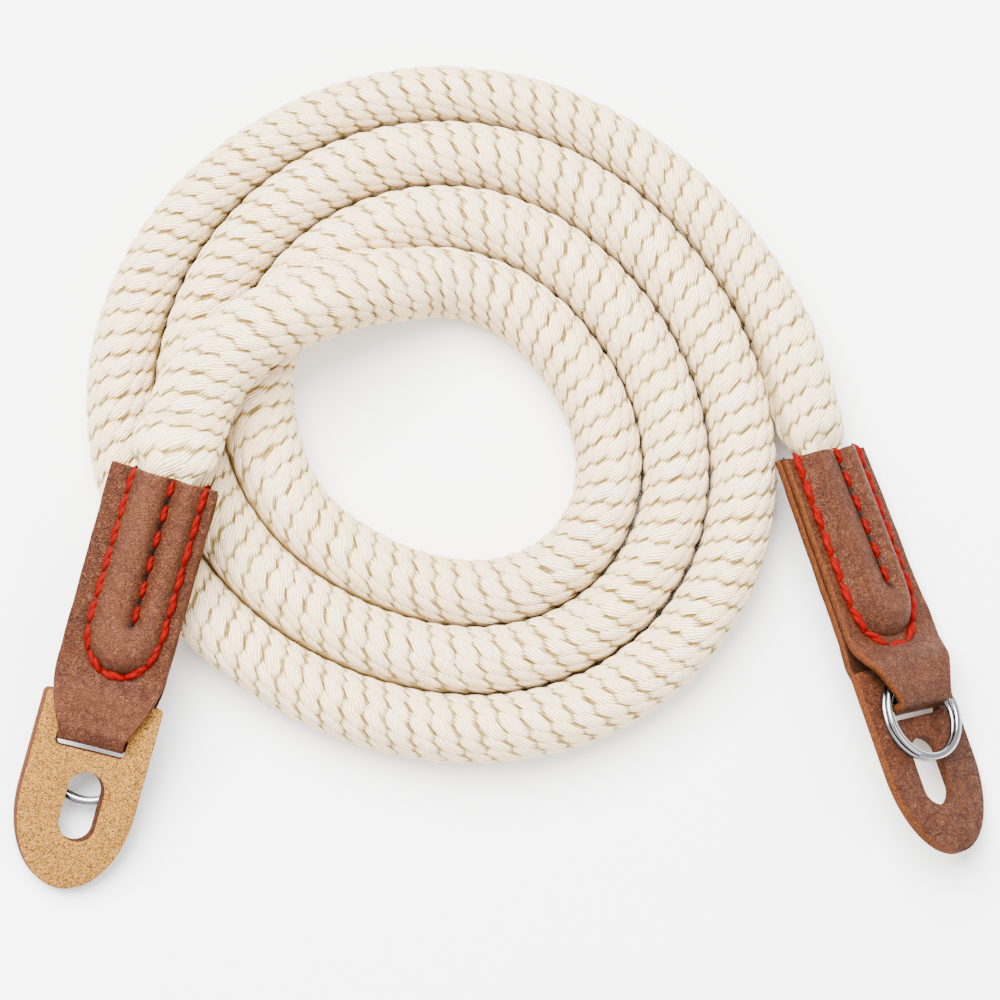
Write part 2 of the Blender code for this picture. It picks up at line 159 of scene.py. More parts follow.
SHOULDER = RING_MIDDLE - max(RING_SLID.values()) - RING_DIAMETER / 2 - SHOULDER_RUN
RIDGE_END = SHOULDER + RIDGE_PAST_SHOULDER
RIDGE_STRAIGHT = RIDGE_END - RIDGE_WIDTH / 2
ROPE_IN = RIDGE_END - ROPE_SHORT
SEAM_END = RIDGE_END - SEAM_SHORT
GUARD_TOP = SHOULDER + GUARD_BELOW_SHOULDER
GUARD_TIP = GUARD_TOP + GUARD_LENGTH
HOLE_MIDDLE = GUARD_TIP - HOLE_FROM_TIP

# The ridges are rounder here than in the CAD, and the seam between them is wider and deeper
RIDGE_ROUNDNESS = 0.85
SEAM_DEPTH = 0.72  # share of the ridges' height
SEAM_WIDTH = 0.0029
SEAM_SIDES = {"left": (1.5, 0.8), "right": (0.9, 1.0)}  # width of its two flanks, as a share of that
RIGHT_END_NARROWS = 0.08  # how much narrower the right ridge ends on its outer side
RIGHT_END_RUN = (-0.004, 0.002)  # from where the ridge starts to round

# Places across each tab at its mouth, at its middle seam's last hole and at the bottom of its outer seam, and
# where they lie in an even pattern: both middle seams were sewn off centre
SEAM_HOLE = 0.0236
STITCH_BOTTOMS = {"left": 0.0322, "right": 0.0334}
BOTTOM_NEARS = (0.001, 0.002)  # above the hole and the bottom, where the last change starts and ends
EVEN_PLACES = (-0.0090, -0.0061, -0.0053, 0.0, 0.0053, 0.0061, 0.0090)
SEAM_PLACES = {
    "left": (
        (-0.0090, -0.00665, -0.0059, -0.00165, 0.0039, 0.00465, 0.0090),
        (-0.0090, -0.00640, -0.00565, -0.0017, 0.0042, 0.0050, 0.0090),
        (-0.0090, -0.0063, -0.00555, -0.0006, 0.00435, 0.0051, 0.0090),
    ),
    "right": (
        (-0.0090, -0.00675, -0.0060, 0.0013, 0.0050, 0.0064, 0.0090),
        (-0.0090, -0.00636, -0.0056, 0.0025, 0.0056, 0.0071, 0.0090),
        (-0.0090, -0.0062, -0.0054, 0.0006, 0.0059, 0.0074, 0.0090),
    ),
}

# The rope is squarer than its solid where turns press together, lies looser on the inner side of the
# innermost turn, and climbs over the coil softly, as its stiffness asks
SQUARENESS = 0.78  # power on the section's sine and cosine: 1 is round
LOOSE_MIDDLE = 902  # degrees along the coil
LOOSE_REACH = 26
LOOSE_INWARDS = 0.0012
CLIMB_SOFTENED = 0.014
CLIMB_STARTS = (0.16, 0.20)  # from the rope's inner end
CLIMB_ENDS = (0.030, 0.045)

# How finely the rope is read
ROUTE_STEP = 0.0005
DIRECTION_REACH = 0.0015
SECTION_SIDES = 72
LEAST_ROOM = LAYER_GAP / 3


def linear(hex_colour):
    """An sRGB hex colour as linear red, green, blue and alpha."""
    values = [int(hex_colour[i : i + 2], 16) / 255 for i in (1, 3, 5)]
    return [v / 12.92 if v <= 0.04045 else ((v + 0.055) / 1.055) ** 2.4 for v in values] + [1.0]


# Shapes shared with the CAD


def share(value, low, high):
    return np.clip((value - low) / (high - low), 0.0, 1.0)


def ease(value, low, high):
    x = share(value, low, high)
    return x * x * (3 - 2 * x)


def table_softened(table, at, step):
    """The second column of a table where its first is at, averaged over five places a step apart."""
    places, values = zip(*table)
    return np.mean([np.interp(at + step * i, places, values) for i in range(-2, 3)], axis=0)


def between_rows(values, down, side):
    """Values known at the mouth, the last hole and the bottom of the outer seam, read where down is."""
    mouth, hole, bottom = values
    past_hole = ease(down, SEAM_HOLE - BOTTOM_NEARS[0], STITCH_BOTTOMS[side] - BOTTOM_NEARS[1])
    return mouth + (hole - mouth) * share(down, 0.0, SEAM_HOLE) + (bottom - hole) * past_hole


def in_pattern(across, down, side):
    """Where a place across a tab lies in the even pattern of its seams and ridges."""
    return between_rows([np.interp(across, row, EVEN_PLACES) for row in SEAM_PLACES[side]], down, side)


def on_tab(even, down, side):
    """The place across a tab of a place in the even pattern."""
    return between_rows([np.interp(even, EVEN_PLACES, row) for row in SEAM_PLACES[side]], down, side)


def ridge(down, across, side):
    """How far the rope inside lifts each layer of the leather."""
    across = in_pattern(across, down, side)
    flank = SEAM_WIDTH * np.where(across < 0, *SEAM_SIDES[side])
    if side == "right":
        narrowed = ease(down - RIDGE_STRAIGHT, *RIGHT_END_RUN) * (across > 0)
        across = across * (1 + RIGHT_END_NARROWS * narrowed)
    reach = np.hypot(across, np.maximum(down - RIDGE_STRAIGHT, 0.0))
    slope = share(reach, RIDGE_CREST * RIDGE_WIDTH, RIDGE_WIDTH / 2)
    seam = 1 - ease(down, SEAM_END, SEAM_END + SEAM_WIDTH)
    dip = SEAM_DEPTH * seam * np.exp(-((2 * across / flank) ** 2))
    return RIDGE_HEIGHT * (1 - slope**2) ** RIDGE_ROUNDNESS * (1 - dip)


def squeeze(angle):
    """How much narrower the rope is, angle degrees along the coil."""
    return OUTER_SQUEEZE * ease(angle, *SQUEEZE_GROWS) * (1 - ease(angle, *SQUEEZE_FADES))


def turn_radius(angle):
    """The radius of the rope's centreline, angle degrees along the coil."""
    turn = np.radians(angle)
    shape = sum(c * np.cos(n * turn) + s * np.sin(n * turn) for n, c, s in EYE_SHAPE)
    turns_left = (COIL_END - angle) / 360
    return EYE_RADIUS * (1 + shape) + ROPE_RADIUS + PITCH * turns_left - squeeze(angle) / 2


def polar(radius, angle, height):
    turn = math.radians(angle)
    return Vector((radius * math.cos(turn), radius * math.sin(turn), height))


def crossing_point(past, turns_out, height):
    """A point over the coil, measured from where the innermost turn would run on."""
    angle = COIL_END + past
    return polar(turn_radius(angle) + turns_out * PITCH, angle, height)


def outer_end_frame():
    roll = math.radians(OUTER_END_ROLL)
    below = UNDER_GUARD_LEVEL + LEATHER / 2
    height = TAB_WIDTH / 2 * math.sin(roll) + below * math.cos(roll)
    angle = COIL_START - OUTER_END_BEFORE
    place = polar(turn_radius(angle) + OUTER_END_TURNS * PITCH, angle, height)
    heading = Matrix.Rotation(math.radians(angle + OUTER_END_OUTWARDS), 4, "Z")
    return Matrix.Translation(place) @ heading @ Matrix.Rotation(roll, 4, "Y")


def inner_end_frame():
    seat_height = ROPE_DIAMETER + 2 * CLEAR + LAYER_LEVEL + LEATHER / 2 + RIDGE_HEIGHT
    slope = math.atan2(seat_height - GUARD_THICKNESS / 2, GUARD_TIP - INNER_END_SEAT)
    height = seat_height + INNER_END_SEAT * math.tan(slope)
    place = crossing_point(INNER_END_PAST, INNER_END_TURNS, height)
    turned = COIL_END + INNER_END_PAST + 180 - INNER_END_OUTWARDS
    heading = Matrix.Rotation(math.radians(turned), 4, "Z")
    tilt = Matrix.Rotation(slope, 4, "X") @ Matrix.Rotation(math.pi, 4, "Y")
    return Matrix.Translation(place) @ heading @ tilt


def route_points(outer, inner):
    """The rope's route, from its end in the outer tab to its end in the inner one."""
    inside = [-LEAD_OUT] + [ROPE_IN * i / 4 for i in range(5)]
    points = [outer @ Vector((0, -down, 0)) for down in reversed(inside)]
    count = round((COIL_END - COIL_START) / POINT_EVERY)
    for i in range(count + 1):
        angle = COIL_START + (COIL_END - COIL_START) * i / count
        points.append(polar(turn_radius(angle), angle, ROPE_RADIUS))
    for past, turns_out, lift in CROSSING:
        points.append(crossing_point(past, turns_out, ROPE_RADIUS + lift * ROPE_DIAMETER))
    points += [inner @ Vector((0, -down, 0)) for down in inside]
    return points


def smooth_line(points, pieces=12):
    """A smooth curve through the points, as many short straight pieces."""
    ends = [2 * points[0] - points[1]] + points + [2 * points[-1] - points[-2]]
    line = []
    for a, b, c, d in zip(ends, ends[1:], ends[2:], ends[3:]):
        leave = (c - a) / 2 * ((c - b).length * 2 / ((b - a).length + (c - b).length))
        arrive = (d - b) / 2 * ((c - b).length * 2 / ((c - b).length + (d - c).length))
        for i in range(pieces):
            t = i / pieces
            line.append(
                (2 * t**3 - 3 * t**2 + 1) * b
                + (t**3 - 2 * t**2 + t) * leave
                + (3 * t**2 - 2 * t**3) * c
                + (t**3 - t**2) * arrive
            )
    return line + [points[-1]]


def length_along(line):
    """The way from a line's start to each of its points."""
    return np.concatenate([[0], np.cumsum(np.linalg.norm(np.diff(line, axis=0), axis=1))])


def read_line(line, along, places):
    return np.stack([np.interp(places, along, column) for column in line.T], axis=1)


def unit(vectors):
    return vectors / np.linalg.norm(vectors, axis=-1, keepdims=True)


SHIFT = Matrix.Translation(COIL_MIDDLE)
END_FRAMES = {"left": SHIFT @ inner_end_frame(), "right": SHIFT @ outer_end_frame()}


class Rope:
    """The rope's route, read at even steps: its middle, its directions and its section at each step."""

    def __init__(self):
        points = route_points(outer_end_frame(), inner_end_frame())
        line = np.array([SHIFT @ point for point in smooth_line(points)])
        along = length_along(line)
        self.length = along[-1]
        self.count = int(self.length / ROUTE_STEP) + 1
        self.at = np.linspace(0, self.length, self.count)
        self.middle = read_line(line, along, self.at)
        self.soften_climb()
        ahead = read_line(self.middle, self.at, self.at + DIRECTION_REACH)
        behind = read_line(self.middle, self.at, self.at - DIRECTION_REACH)
        self.along = unit(ahead - behind)
        self.across = unit(np.cross(self.along, (0, 0, 1)))
        self.up = np.cross(self.across, self.along)
        self.roll_outer_end()
        flat = self.middle - np.array(COIL_MIDDLE)
        turns = np.unwrap(np.arctan2(flat[:, 1], flat[:, 0]))
        start = np.argmax(self.at > ROPE_IN + LEAD_OUT)
        first = round((COIL_START - math.degrees(turns[start])) / 360) * 360
        self.angle = np.degrees(turns) + first
        self.section_sizes()

    def soften_climb(self):
        """Takes the sharp start out of the climb over the coil."""
        reach = round(CLIMB_SOFTENED / ROUTE_STEP)
        weights = np.hanning(2 * reach + 1)
        heights = np.pad(self.middle[:, 2], reach, mode="edge")
        soft = np.convolve(heights, weights / weights.sum(), mode="valid")
        from_inner = self.length - self.at
        taken = ease(from_inner, *CLIMB_ENDS) * (1 - ease(from_inner, *CLIMB_STARTS))
        self.middle[:, 2] += (soft - self.middle[:, 2]) * taken

    def roll_outer_end(self):
        outside = self.at - ROPE_IN
        roll = np.radians(OUTER_END_ROLL) * (1 - ease(outside, 0.0, 2 * OUTER_SWELL_RUN))
        cos, sin = np.cos(roll)[:, None], np.sin(roll)[:, None]
        across = self.across * cos + np.cross(self.along, self.across) * sin
        self.up = self.up * cos + np.cross(self.along, self.up) * sin
        self.across = across

    def section_sizes(self):
        """Works out half the width, half the thickness and the share of roundness at each step."""
        from_outer = self.at - ROPE_IN
        from_inner = self.length - self.at - ROPE_IN
        outer = from_outer < from_inner
        self.outside = np.where(outer, from_outer, from_inner)
        swell = np.where(outer, OUTER_SWELL, INNER_SWELL)
        run = np.where(outer, OUTER_SWELL_RUN, INNER_SWELL_RUN)
        flat = self.middle - np.array(COIL_MIDDLE)
        angle = np.degrees(np.arctan2(flat[:, 1], flat[:, 0])) % 360
        outermost = np.hypot(flat[:, 0], flat[:, 1]) > turn_radius(angle) - PITCH / 2
        narrowed = ROPE_DIAMETER - np.where(outermost, squeeze(angle), 0.0)
        loose = 1 - ease(from_inner, *CROSSING_WIDENS)
        widened = ROPE_DIAMETER + (CROSSING_WIDTH - ROPE_DIAMETER) * loose
        free_width = np.where(outer, narrowed, widened)

        def grown(stretch):
            return ease(self.outside, stretch[0] * run, stretch[1] * run)

        inside_half = RIDGE_WIDTH / 2 - EDGE_ROOM
        self.half = inside_half + (swell / 2 - inside_half) * grown(SPREADS)
        self.half += (free_width / 2 - self.half) * grown(NARROWS)
        rise = PRESSED * grown(FIRST_RISE) + (1 - PRESSED) * grown(LAST_RISE)
        self.thick = ROPE_RADIUS * (PRESSED + (1 - PRESSED) * rise)
        self.roundness = grown(UNLOBES)[:, None]

    def surface(self, sides, inset):
        """Points inset from the rope's skin and the directions out of it: a row for each step, and a column
        for each side."""
        half, thick = self.half - inset, self.thick - inset
        turn = np.linspace(0, 2 * np.pi, sides, endpoint=False)
        cos, sin = np.cos(turn), np.sin(turn)
        wide = np.sign(cos) * np.abs(cos) ** SQUARENESS
        high = np.sign(sin) * np.abs(sin) ** SQUARENESS
        across = half[:, None] * wide
        loose = np.exp(-(((self.angle - LOOSE_MIDDLE) / LOOSE_REACH) ** 2))
        across += LOOSE_INWARDS * loose[:, None] * np.minimum(wide, 0.0)
        boxy = np.clip(BOXINESS * sin, -1, 1)
        down = np.maximum(-self.outside, 0.0)[:, None]
        in_right, in_left = (room_in_tab(down, across, side) for side in ("right", "left"))
        first_half = (self.at < self.length / 2)[:, None]
        room = np.maximum(np.where(first_half, in_right, in_left) - inset, LEAST_ROOM) * boxy
        up = thick[:, None] * high * self.roundness + room * (1 - self.roundness)
        out = unit(np.stack([wide * thick[:, None], high * half[:, None]], axis=2))
        return across, up, out


def room_in_tab(down, across, side):
    """Half the height that the leather leaves for the rope, CLEAR of it."""
    step = ROPE_IN / ROPE_IN_STEPS
    shifts = [(step * i, LEATHER / 2 * j) for i in (-1, 0, 1) for j in (-1, 0, 1)]
    lowest = np.minimum.reduce([ridge(down + i, across + j, side) for i, j in shifts])
    return np.maximum(lowest + LAYER_GAP / 2 - CLEAR, LEAST_ROOM)


ROPE = Rope()


# Settings


def colour_setting(name, description, hex_colour):
    return bpy.props.FloatVectorProperty(
        name=name, description=description, subtype="COLOR", size=4, min=0, max=1, default=linear(hex_colour)
    )


def length_setting(name, description, default, low, high):
    return bpy.props.FloatProperty(
        name=name, description=description, unit="LENGTH", min=low, max=high, default=default
    )


class RopeSettings(bpy.types.PropertyGroup):
    cotton: colour_setting("Cotton", "Colour of the loomstate cotton on the crests of the braid", "#FFE4B6")
    # Hollows: painted shade where one strand dives under another
    hollows: colour_setting("Hollows", "Colour of the cotton where one strand dives under another", "#A1874F")
    float_pitch: length_setting(
        "Float pitch", "Way along the rope from one float of a column to the next", 0.0035, 0.0025, 0.006
    )
    float_width: length_setting("Float width", "Width of one float of the braid", 0.00266, 0.0015, 0.004)
    float_length: length_setting("Float length", "Length of a float with its tails", 0.0080, 0.004, 0.012)
    ply_width: length_setting("Ply width", "Spacing of the plies within a float", 0.0004, 0.0002, 0.001)


class LeatherSettings(bpy.types.PropertyGroup):
    grain: colour_setting("Grain side", "Colour of the dyed grain side", "#3B1A0A")
    flesh: colour_setting("Flesh side", "Colour of the undyed suede side", "#AF7D3D")
    edge: colour_setting("Cut edge", "Colour of the raw cut edges", "#582E0E")


class StitchSettings(bpy.types.PropertyGroup):
    thread: colour_setting("Thread", "Colour of the waxed sewing thread", "#720201")
    pitch: length_setting("Stitch length", "Way from one stitch hole to the next", 0.0042, 0.002, 0.008)
    width: length_setting("Thread width", "Width of the thread in mid stitch", 0.00148, 0.0004, 0.0016)


class StageSettings(bpy.types.PropertyGroup):
    floor: colour_setting("Floor", "Colour of the pale floor", "#FAFAFA")
    softness: length_setting("Key light size", "Width of the large soft light over the strap", 0.9, 0.2, 3)


# Materials

# Settings that many nodes share. A Mix node has its colours at inputs 6 and 7 and at output 2.
SMOOTH = {"interpolation_type": "SMOOTHSTEP"}
TIMES_PLUS = {"operation": "MULTIPLY_ADD"}
COLOURS = {"out": 2, "data_type": "RGBA"}


def fill(tree, node, inputs):
    """Gives a node's inputs their values, or links them to other nodes' outputs."""
    for name, value in inputs.items():
        if isinstance(value, bpy.types.NodeSocket):
            tree.links.new(value, node.inputs[name])
        else:
            node.inputs[name].default_value = value


def add_node(tree, kind, inputs, out=0, **settings):
    """Adds a node with its settings and inputs, and returns one of its outputs."""
    made = tree.nodes.new("ShaderNode" + kind)
    for name, value in settings.items():
        setattr(made, name, value)
    fill(tree, made, inputs)
    return made.outputs[out]


def new_material(name, finish, *values):
    """A material whose shader gets what the function finish makes of the values."""
    made = bpy.data.materials.new(name)
    made.use_nodes = True
    fill(made.node_tree, made.node_tree.nodes["Principled BSDF"], finish(made.node_tree, *values))
    return made


def per_metre(millimetres):
    """The scale of a pattern whose features are so many millimetres apart: how many of them fill a metre."""
    return round(1000 / millimetres)


def braided_cotton(tree, settings):
    """Loomstate cotton, twisted in plies and braided: matt, warm white and finely ribbed along each float.
    Painted shade makes it darker and yellower in the hollows where a float dives, between the plies and in
    the grooves between turns. It reads the floats' own map in metres."""
    place = add_node(tree, "UVMap", {}, uv_map="fibres")
    names = ("hollow", "tone", "groove")
    hollow, tone, groove = [add_node(tree, "Attribute", {}, "Fac", attribute_name=name) for name in names]
    # Plies: even lines along the float, a little wavy over every 1.4 mm
    waves = {"Vector": place, "Scale": per_metre(1.4286), "Detail": 1.0}
    wander = add_node(tree, "TexNoise", waves, noise_dimensions="2D")
    across = add_node(tree, "SeparateXYZ", {0: place})
    turns = add_node(tree, "Math", {0: across, 1: 2 * math.pi / settings.ply_width}, operation="MULTIPLY")
    lines = add_node(tree, "Math", {0: wander, 1: 3.0, 2: turns}, **TIMES_PLUS)
    sine = add_node(tree, "Math", {0: lines}, operation="SINE")
    ply = add_node(tree, "Math", {0: sine, 1: 0.5, 2: 0.5}, **TIMES_PLUS)
    # Loose fibres: streaks in the same direction. Real ones, 0.02 mm wide, wouldn't show: these are 0.11 mm
    stretch = {"Vector": place, "Scale": (per_metre(0.11111), per_metre(1.1111), 1.0)}
    streaks = {"Vector": add_node(tree, "Mapping", stretch), "Scale": 1.0, "Detail": 2.0}
    fibres = add_node(tree, "TexNoise", streaks, noise_dimensions="2D")
    height = add_node(tree, "Math", {0: fibres, 1: 0.7, 2: ply}, **TIMES_PLUS)
    paler = add_node(tree, "MapRange", {0: tone, 4: 0.6}, **SMOOTH)
    bright = add_node(tree, "Mix", {0: paler, 6: settings.cotton, 7: linear("#FFE9CE")}, **COLOURS)
    # Painted shade: darker where the plies and fibres lie low
    sunk = add_node(tree, "MapRange", {0: height, 1: 0.80, 2: 0.15, 4: 0.75}, **SMOOTH)
    between = add_node(tree, "Mix", {0: sunk, 6: bright, 7: linear("#CFAC74")}, **COLOURS)
    # Painted shade in the hollows where a float dives under its neighbours: the plies reach unevenly into
    # them, so its edges look jagged
    uneven = add_node(tree, "Math", {0: height, 1: -0.34, 2: 0.26}, **TIMES_PLUS)
    jagged = add_node(tree, "Math", {0: hollow, 1: uneven}, operation="ADD")
    diving = add_node(tree, "MapRange", {0: jagged, 1: 0.20, 2: 0.74}, **SMOOTH)
    dived = add_node(tree, "Mix", {0: diving, 6: between, 7: settings.hollows}, **COLOURS)
    # Painted shade: darker where the float lies deep in the groove between two turns
    shaded = add_node(tree, "MapRange", {0: groove, 4: 0.5}, **SMOOTH)
    colour = add_node(tree, "Mix", {0: shaded, 6: dived, 7: linear("#66582F")}, **COLOURS)
    normal = add_node(tree, "Bump", {"Height": height, "Distance": 0.00017, "Strength": 1.0})
    return {"Base Color": colour, "Roughness": 0.9, "Specular IOR Level": 0.1, "Normal": normal}


def braid_core(tree):
    """The inner strands of the braid, seen only as specks between the floats and where the core bulges into
    the grooves between turns, drawn dull brown-yellow as painted shade.
    """
    place = add_node(tree, "TexCoord", {}, "Object")
    patches = add_node(tree, "TexNoise", {"Vector": place, "Scale": per_metre(0.5556), "Detail": 2.0})
    colour = add_node(tree, "Mix", {0: patches, 6: linear("#93794A"), 7: linear("#B59B66")}, **COLOURS)
    normal = add_node(tree, "Bump", {"Height": patches, "Distance": 0.0002, "Strength": 1.0})
    return {"Base Color": colour, "Roughness": 0.95, "Specular IOR Level": 0.05, "Normal": normal}


def wandering(tree, place, scale, reach):
    """Places moved about by up to reach, so that a pattern's lines wander."""
    bend = add_node(tree, "TexNoise", {"Vector": place, "Scale": scale, "Detail": 2.0}, "Color")
    return add_node(tree, "VectorMath", {0: bend, 1: (reach, reach, reach), 2: place}, **TIMES_PLUS)


def curving_lines(tree, place, scale, detail, at_zero, at_one):
    """Thin curving lines: 0 and 1 at two distances off a line, as shares of the way to the next line."""
    noise = add_node(tree, "TexNoise", {"Vector": place, "Scale": scale, "Detail": detail})
    signed = add_node(tree, "Math", {0: noise, 1: 2.0, 2: -1.0}, **TIMES_PLUS)
    away = add_node(tree, "Math", {0: signed}, operation="ABSOLUTE")
    return add_node(tree, "MapRange", {0: away, 1: at_zero, 2: at_one}, **SMOOTH)


def cracks(tree, place, size):
    """Creases between small plates of grain, size across in metres: 1 in a crease, 0 off it, and broken in
    places."""
    moved = wandering(tree, place, 1.6 / size, 0.5 * size)
    plates = {"Vector": moved, "Scale": 1 / size}
    off_crease = add_node(tree, "TexVoronoi", plates, feature="DISTANCE_TO_EDGE")
    patches = add_node(tree, "TexNoise", {"Vector": place, "Scale": 0.7 / size, "Detail": 1.0})
    crease = add_node(tree, "MapRange", {0: off_crease, 1: 0.085, 2: 0.02}, **SMOOTH)
    whole = add_node(tree, "MapRange", {0: patches, 1: 0.36, 2: 0.52}, **SMOOTH)
    return add_node(tree, "Math", {0: crease, 1: whole}, operation="MULTIPLY")


def grain_side(tree, settings, creasing):
    """Vegetable-tanned cowhide, aniline dyed and waxed on the grain side: warm brown with cloudy dye, light
    lines as fine as hair that are part scuffs and part painted glints, creases and wrinkles darkened by
    painted shade, painted sheen on the tabs' ridges and necks, and painted shade round the stitch holes."""
    place = add_node(tree, "TexCoord", {}, "Object")
    hole_shade, painted_sheen = [add_node(tree, "Attribute", {}, "Fac", attribute_name=name) for name in ("hole_shade", "painted_sheen")]
    # Relief: grain in half-millimetre cells, wrinkles, and a tooth drawn 0.28 mm coarse so that it shows
    moved = wandering(tree, place, per_metre(1.1111), 0.0009)
    cells = {"Vector": moved, "Scale": per_metre(0.5263)}
    off_pore = add_node(tree, "TexVoronoi", cells, feature="DISTANCE_TO_EDGE")
    pores = add_node(tree, "MapRange", {0: off_pore, 2: 0.30}, **SMOOTH)
    tooth = add_node(tree, "TexNoise", {"Vector": place, "Scale": per_metre(0.2778), "Detail": 2.0})
    grain = add_node(tree, "Math", {0: tooth, 1: 0.5, 2: pores}, **TIMES_PLUS)
    low_grain = add_node(tree, "Math", {0: grain, 1: 0.5}, operation="MULTIPLY")
    smooth_skin = curving_lines(tree, moved, per_metre(2.381), 4.0, 0.0, 0.07)
    skin = add_node(tree, "Math", {0: smooth_skin, 1: 0.3, 2: low_grain}, **TIMES_PLUS)
    # Creases round plates of 2.3 mm, and fainter ones round plates of 1.3 mm
    faint = add_node(tree, "Math", {0: cracks(tree, place, 0.0013), 1: 0.5}, operation="MULTIPLY")
    both = add_node(tree, "Math", {0: cracks(tree, place, 0.0023), 1: faint}, operation="MAXIMUM")
    cracked = add_node(tree, "Math", {0: both, 1: creasing}, operation="MULTIPLY")
    height = add_node(tree, "Math", {0: cracked, 1: -0.9, 2: skin}, **TIMES_PLUS)
    # Dye in clouds of 5 mm, and light hair lines a tenth of a millimetre wide, part wear and part painted
    # glints
    clouds = add_node(tree, "TexNoise", {"Vector": place, "Scale": per_metre(4.762), "Detail": 4.0})
    dyed = add_node(tree, "MapRange", {0: clouds, 1: 0.32, 2: 0.68, 3: 0.42}, **SMOOTH)
    base = add_node(tree, "Mix", {0: dyed, 6: linear("#2C1006"), 7: settings.grain}, **COLOURS)
    # Painted sheen: paler on the ridges and the neck
    sheen_share = add_node(tree, "MapRange", {0: painted_sheen, 1: 0.55, 4: 0.6}, **SMOOTH)
    lighter = add_node(tree, "Mix", {0: sheen_share, 6: base, 7: linear("#4E2A1A")}, **COLOURS)
    wide_hairs = curving_lines(tree, place, per_metre(0.8), 1.0, 0.06, 0.0)
    thin_hairs = curving_lines(tree, place, per_metre(0.4348), 1.0, 0.09, 0.0)
    hairs = add_node(tree, "Math", {0: wide_hairs, 1: thin_hairs}, operation="MAXIMUM")
    patches = add_node(tree, "TexNoise", {"Vector": place, "Scale": per_metre(1.6667), "Detail": 2.0})
    patchy = add_node(tree, "MapRange", {0: patches, 1: 0.34, 2: 0.60, 3: 0.45 * 0.36, 4: 0.36}, **SMOOTH)
    scuffs_and_glints = add_node(tree, "Math", {0: hairs, 1: patchy}, operation="MULTIPLY")
    scuffed_and_glinting = add_node(tree, "Mix", {0: scuffs_and_glints, 6: lighter, 7: linear("#8A5A39")}, **COLOURS)
    # Painted shade: darker in the wrinkles and the creases
    in_wrinkle = add_node(tree, "MapRange", {0: smooth_skin, 1: 1.0, 2: 0.0, 4: creasing}, **SMOOTH)
    wrinkled = add_node(tree, "Mix", {0: in_wrinkle, 6: scuffed_and_glinting, 7: linear("#230E06")}, **COLOURS)
    in_crack = add_node(tree, "Math", {0: cracked, 1: 0.75}, operation="MULTIPLY")
    creased = add_node(tree, "Mix", {0: in_crack, 6: wrinkled, 7: linear("#1C0A04")}, **COLOURS)
    # Painted shade: nearly black round the stitch holes
    in_hole_shade = add_node(tree, "MapRange", {0: hole_shade, 2: 0.9, 4: 0.97}, **SMOOTH)
    colour = add_node(tree, "Mix", {0: in_hole_shade, 6: creased, 7: linear("#0F0504")}, **COLOURS)
    return {
        "Base Color": colour,
        "Roughness": add_node(tree, "MapRange", {0: height, 1: 0.2, 2: 0.9, 3: 0.66, 4: 0.48}, **SMOOTH),
        "IOR": 1.3,
        "Specular IOR Level": 0.25,
        "Normal": add_node(tree, "Bump", {"Height": height, "Distance": 0.00014, "Strength": 0.95}),
    }


def suede(tree, one, other, dark):
    """A short nap in two tones with dark specks, quite matt. Its fibre ends are finer than can show, and
    are drawn 0.2 mm coarse."""
    place = add_node(tree, "TexCoord", {}, "Object")
    ends = {"Vector": place, "Scale": per_metre(0.1923), "Detail": 2.0, "Roughness": 0.8}
    nap = add_node(tree, "TexNoise", ends)
    clumps = add_node(tree, "TexNoise", {"Vector": place, "Scale": per_metre(0.5263), "Detail": 3.0})
    lifted = add_node(tree, "Math", {0: clumps, 1: 0.25, 2: -0.125}, **TIMES_PLUS)
    both = add_node(tree, "Math", {0: nap, 1: lifted}, operation="ADD")
    toned = add_node(tree, "MapRange", {0: both, 1: 0.44, 2: 0.57}, **SMOOTH)
    napped = add_node(tree, "Mix", {0: toned, 6: one, 7: other}, **COLOURS)
    off_speck = add_node(tree, "TexVoronoi", {"Vector": place, "Scale": per_metre(0.4762)})
    on_speck = add_node(tree, "MapRange", {0: off_speck, 1: 0.40, 2: 0.12}, **SMOOTH)
    low = add_node(tree, "MapRange", {0: both, 1: 0.58, 2: 0.36}, **SMOOTH)
    specks = add_node(tree, "Math", {0: on_speck, 1: low}, operation="MULTIPLY")
    darkened = add_node(tree, "MapRange", {0: specks, 1: 0.05, 2: 0.7, 4: 0.9}, **SMOOTH)
    colour = add_node(tree, "Mix", {0: darkened, 6: napped, 7: dark}, **COLOURS)
    normal = add_node(tree, "Bump", {"Height": both, "Distance": 0.0003, "Strength": 1.0})
    return {"Base Color": colour, "Roughness": 0.93, "Specular IOR Level": 0.04, "Normal": normal}


def cut_edge(tree, dull, bright):
    """The raw cut edge of the hide: orange-brown, matt and fibrous, mottled between a duller and a brighter
    tone.
    """
    place = add_node(tree, "TexCoord", {}, "Object")
    fibres = add_node(tree, "TexNoise", {"Vector": place, "Scale": per_metre(0.4545), "Detail": 3.0})
    lit = add_node(tree, "MapRange", {0: fibres, 1: 0.35, 2: 0.65}, **SMOOTH)
    colour = add_node(tree, "Mix", {0: lit, 6: dull, 7: bright}, **COLOURS)
    normal = add_node(tree, "Bump", {"Height": fibres, "Distance": 0.00018, "Strength": 0.8})
    return {"Base Color": colour, "Roughness": 0.85, "Specular IOR Level": 0.1, "Normal": normal}


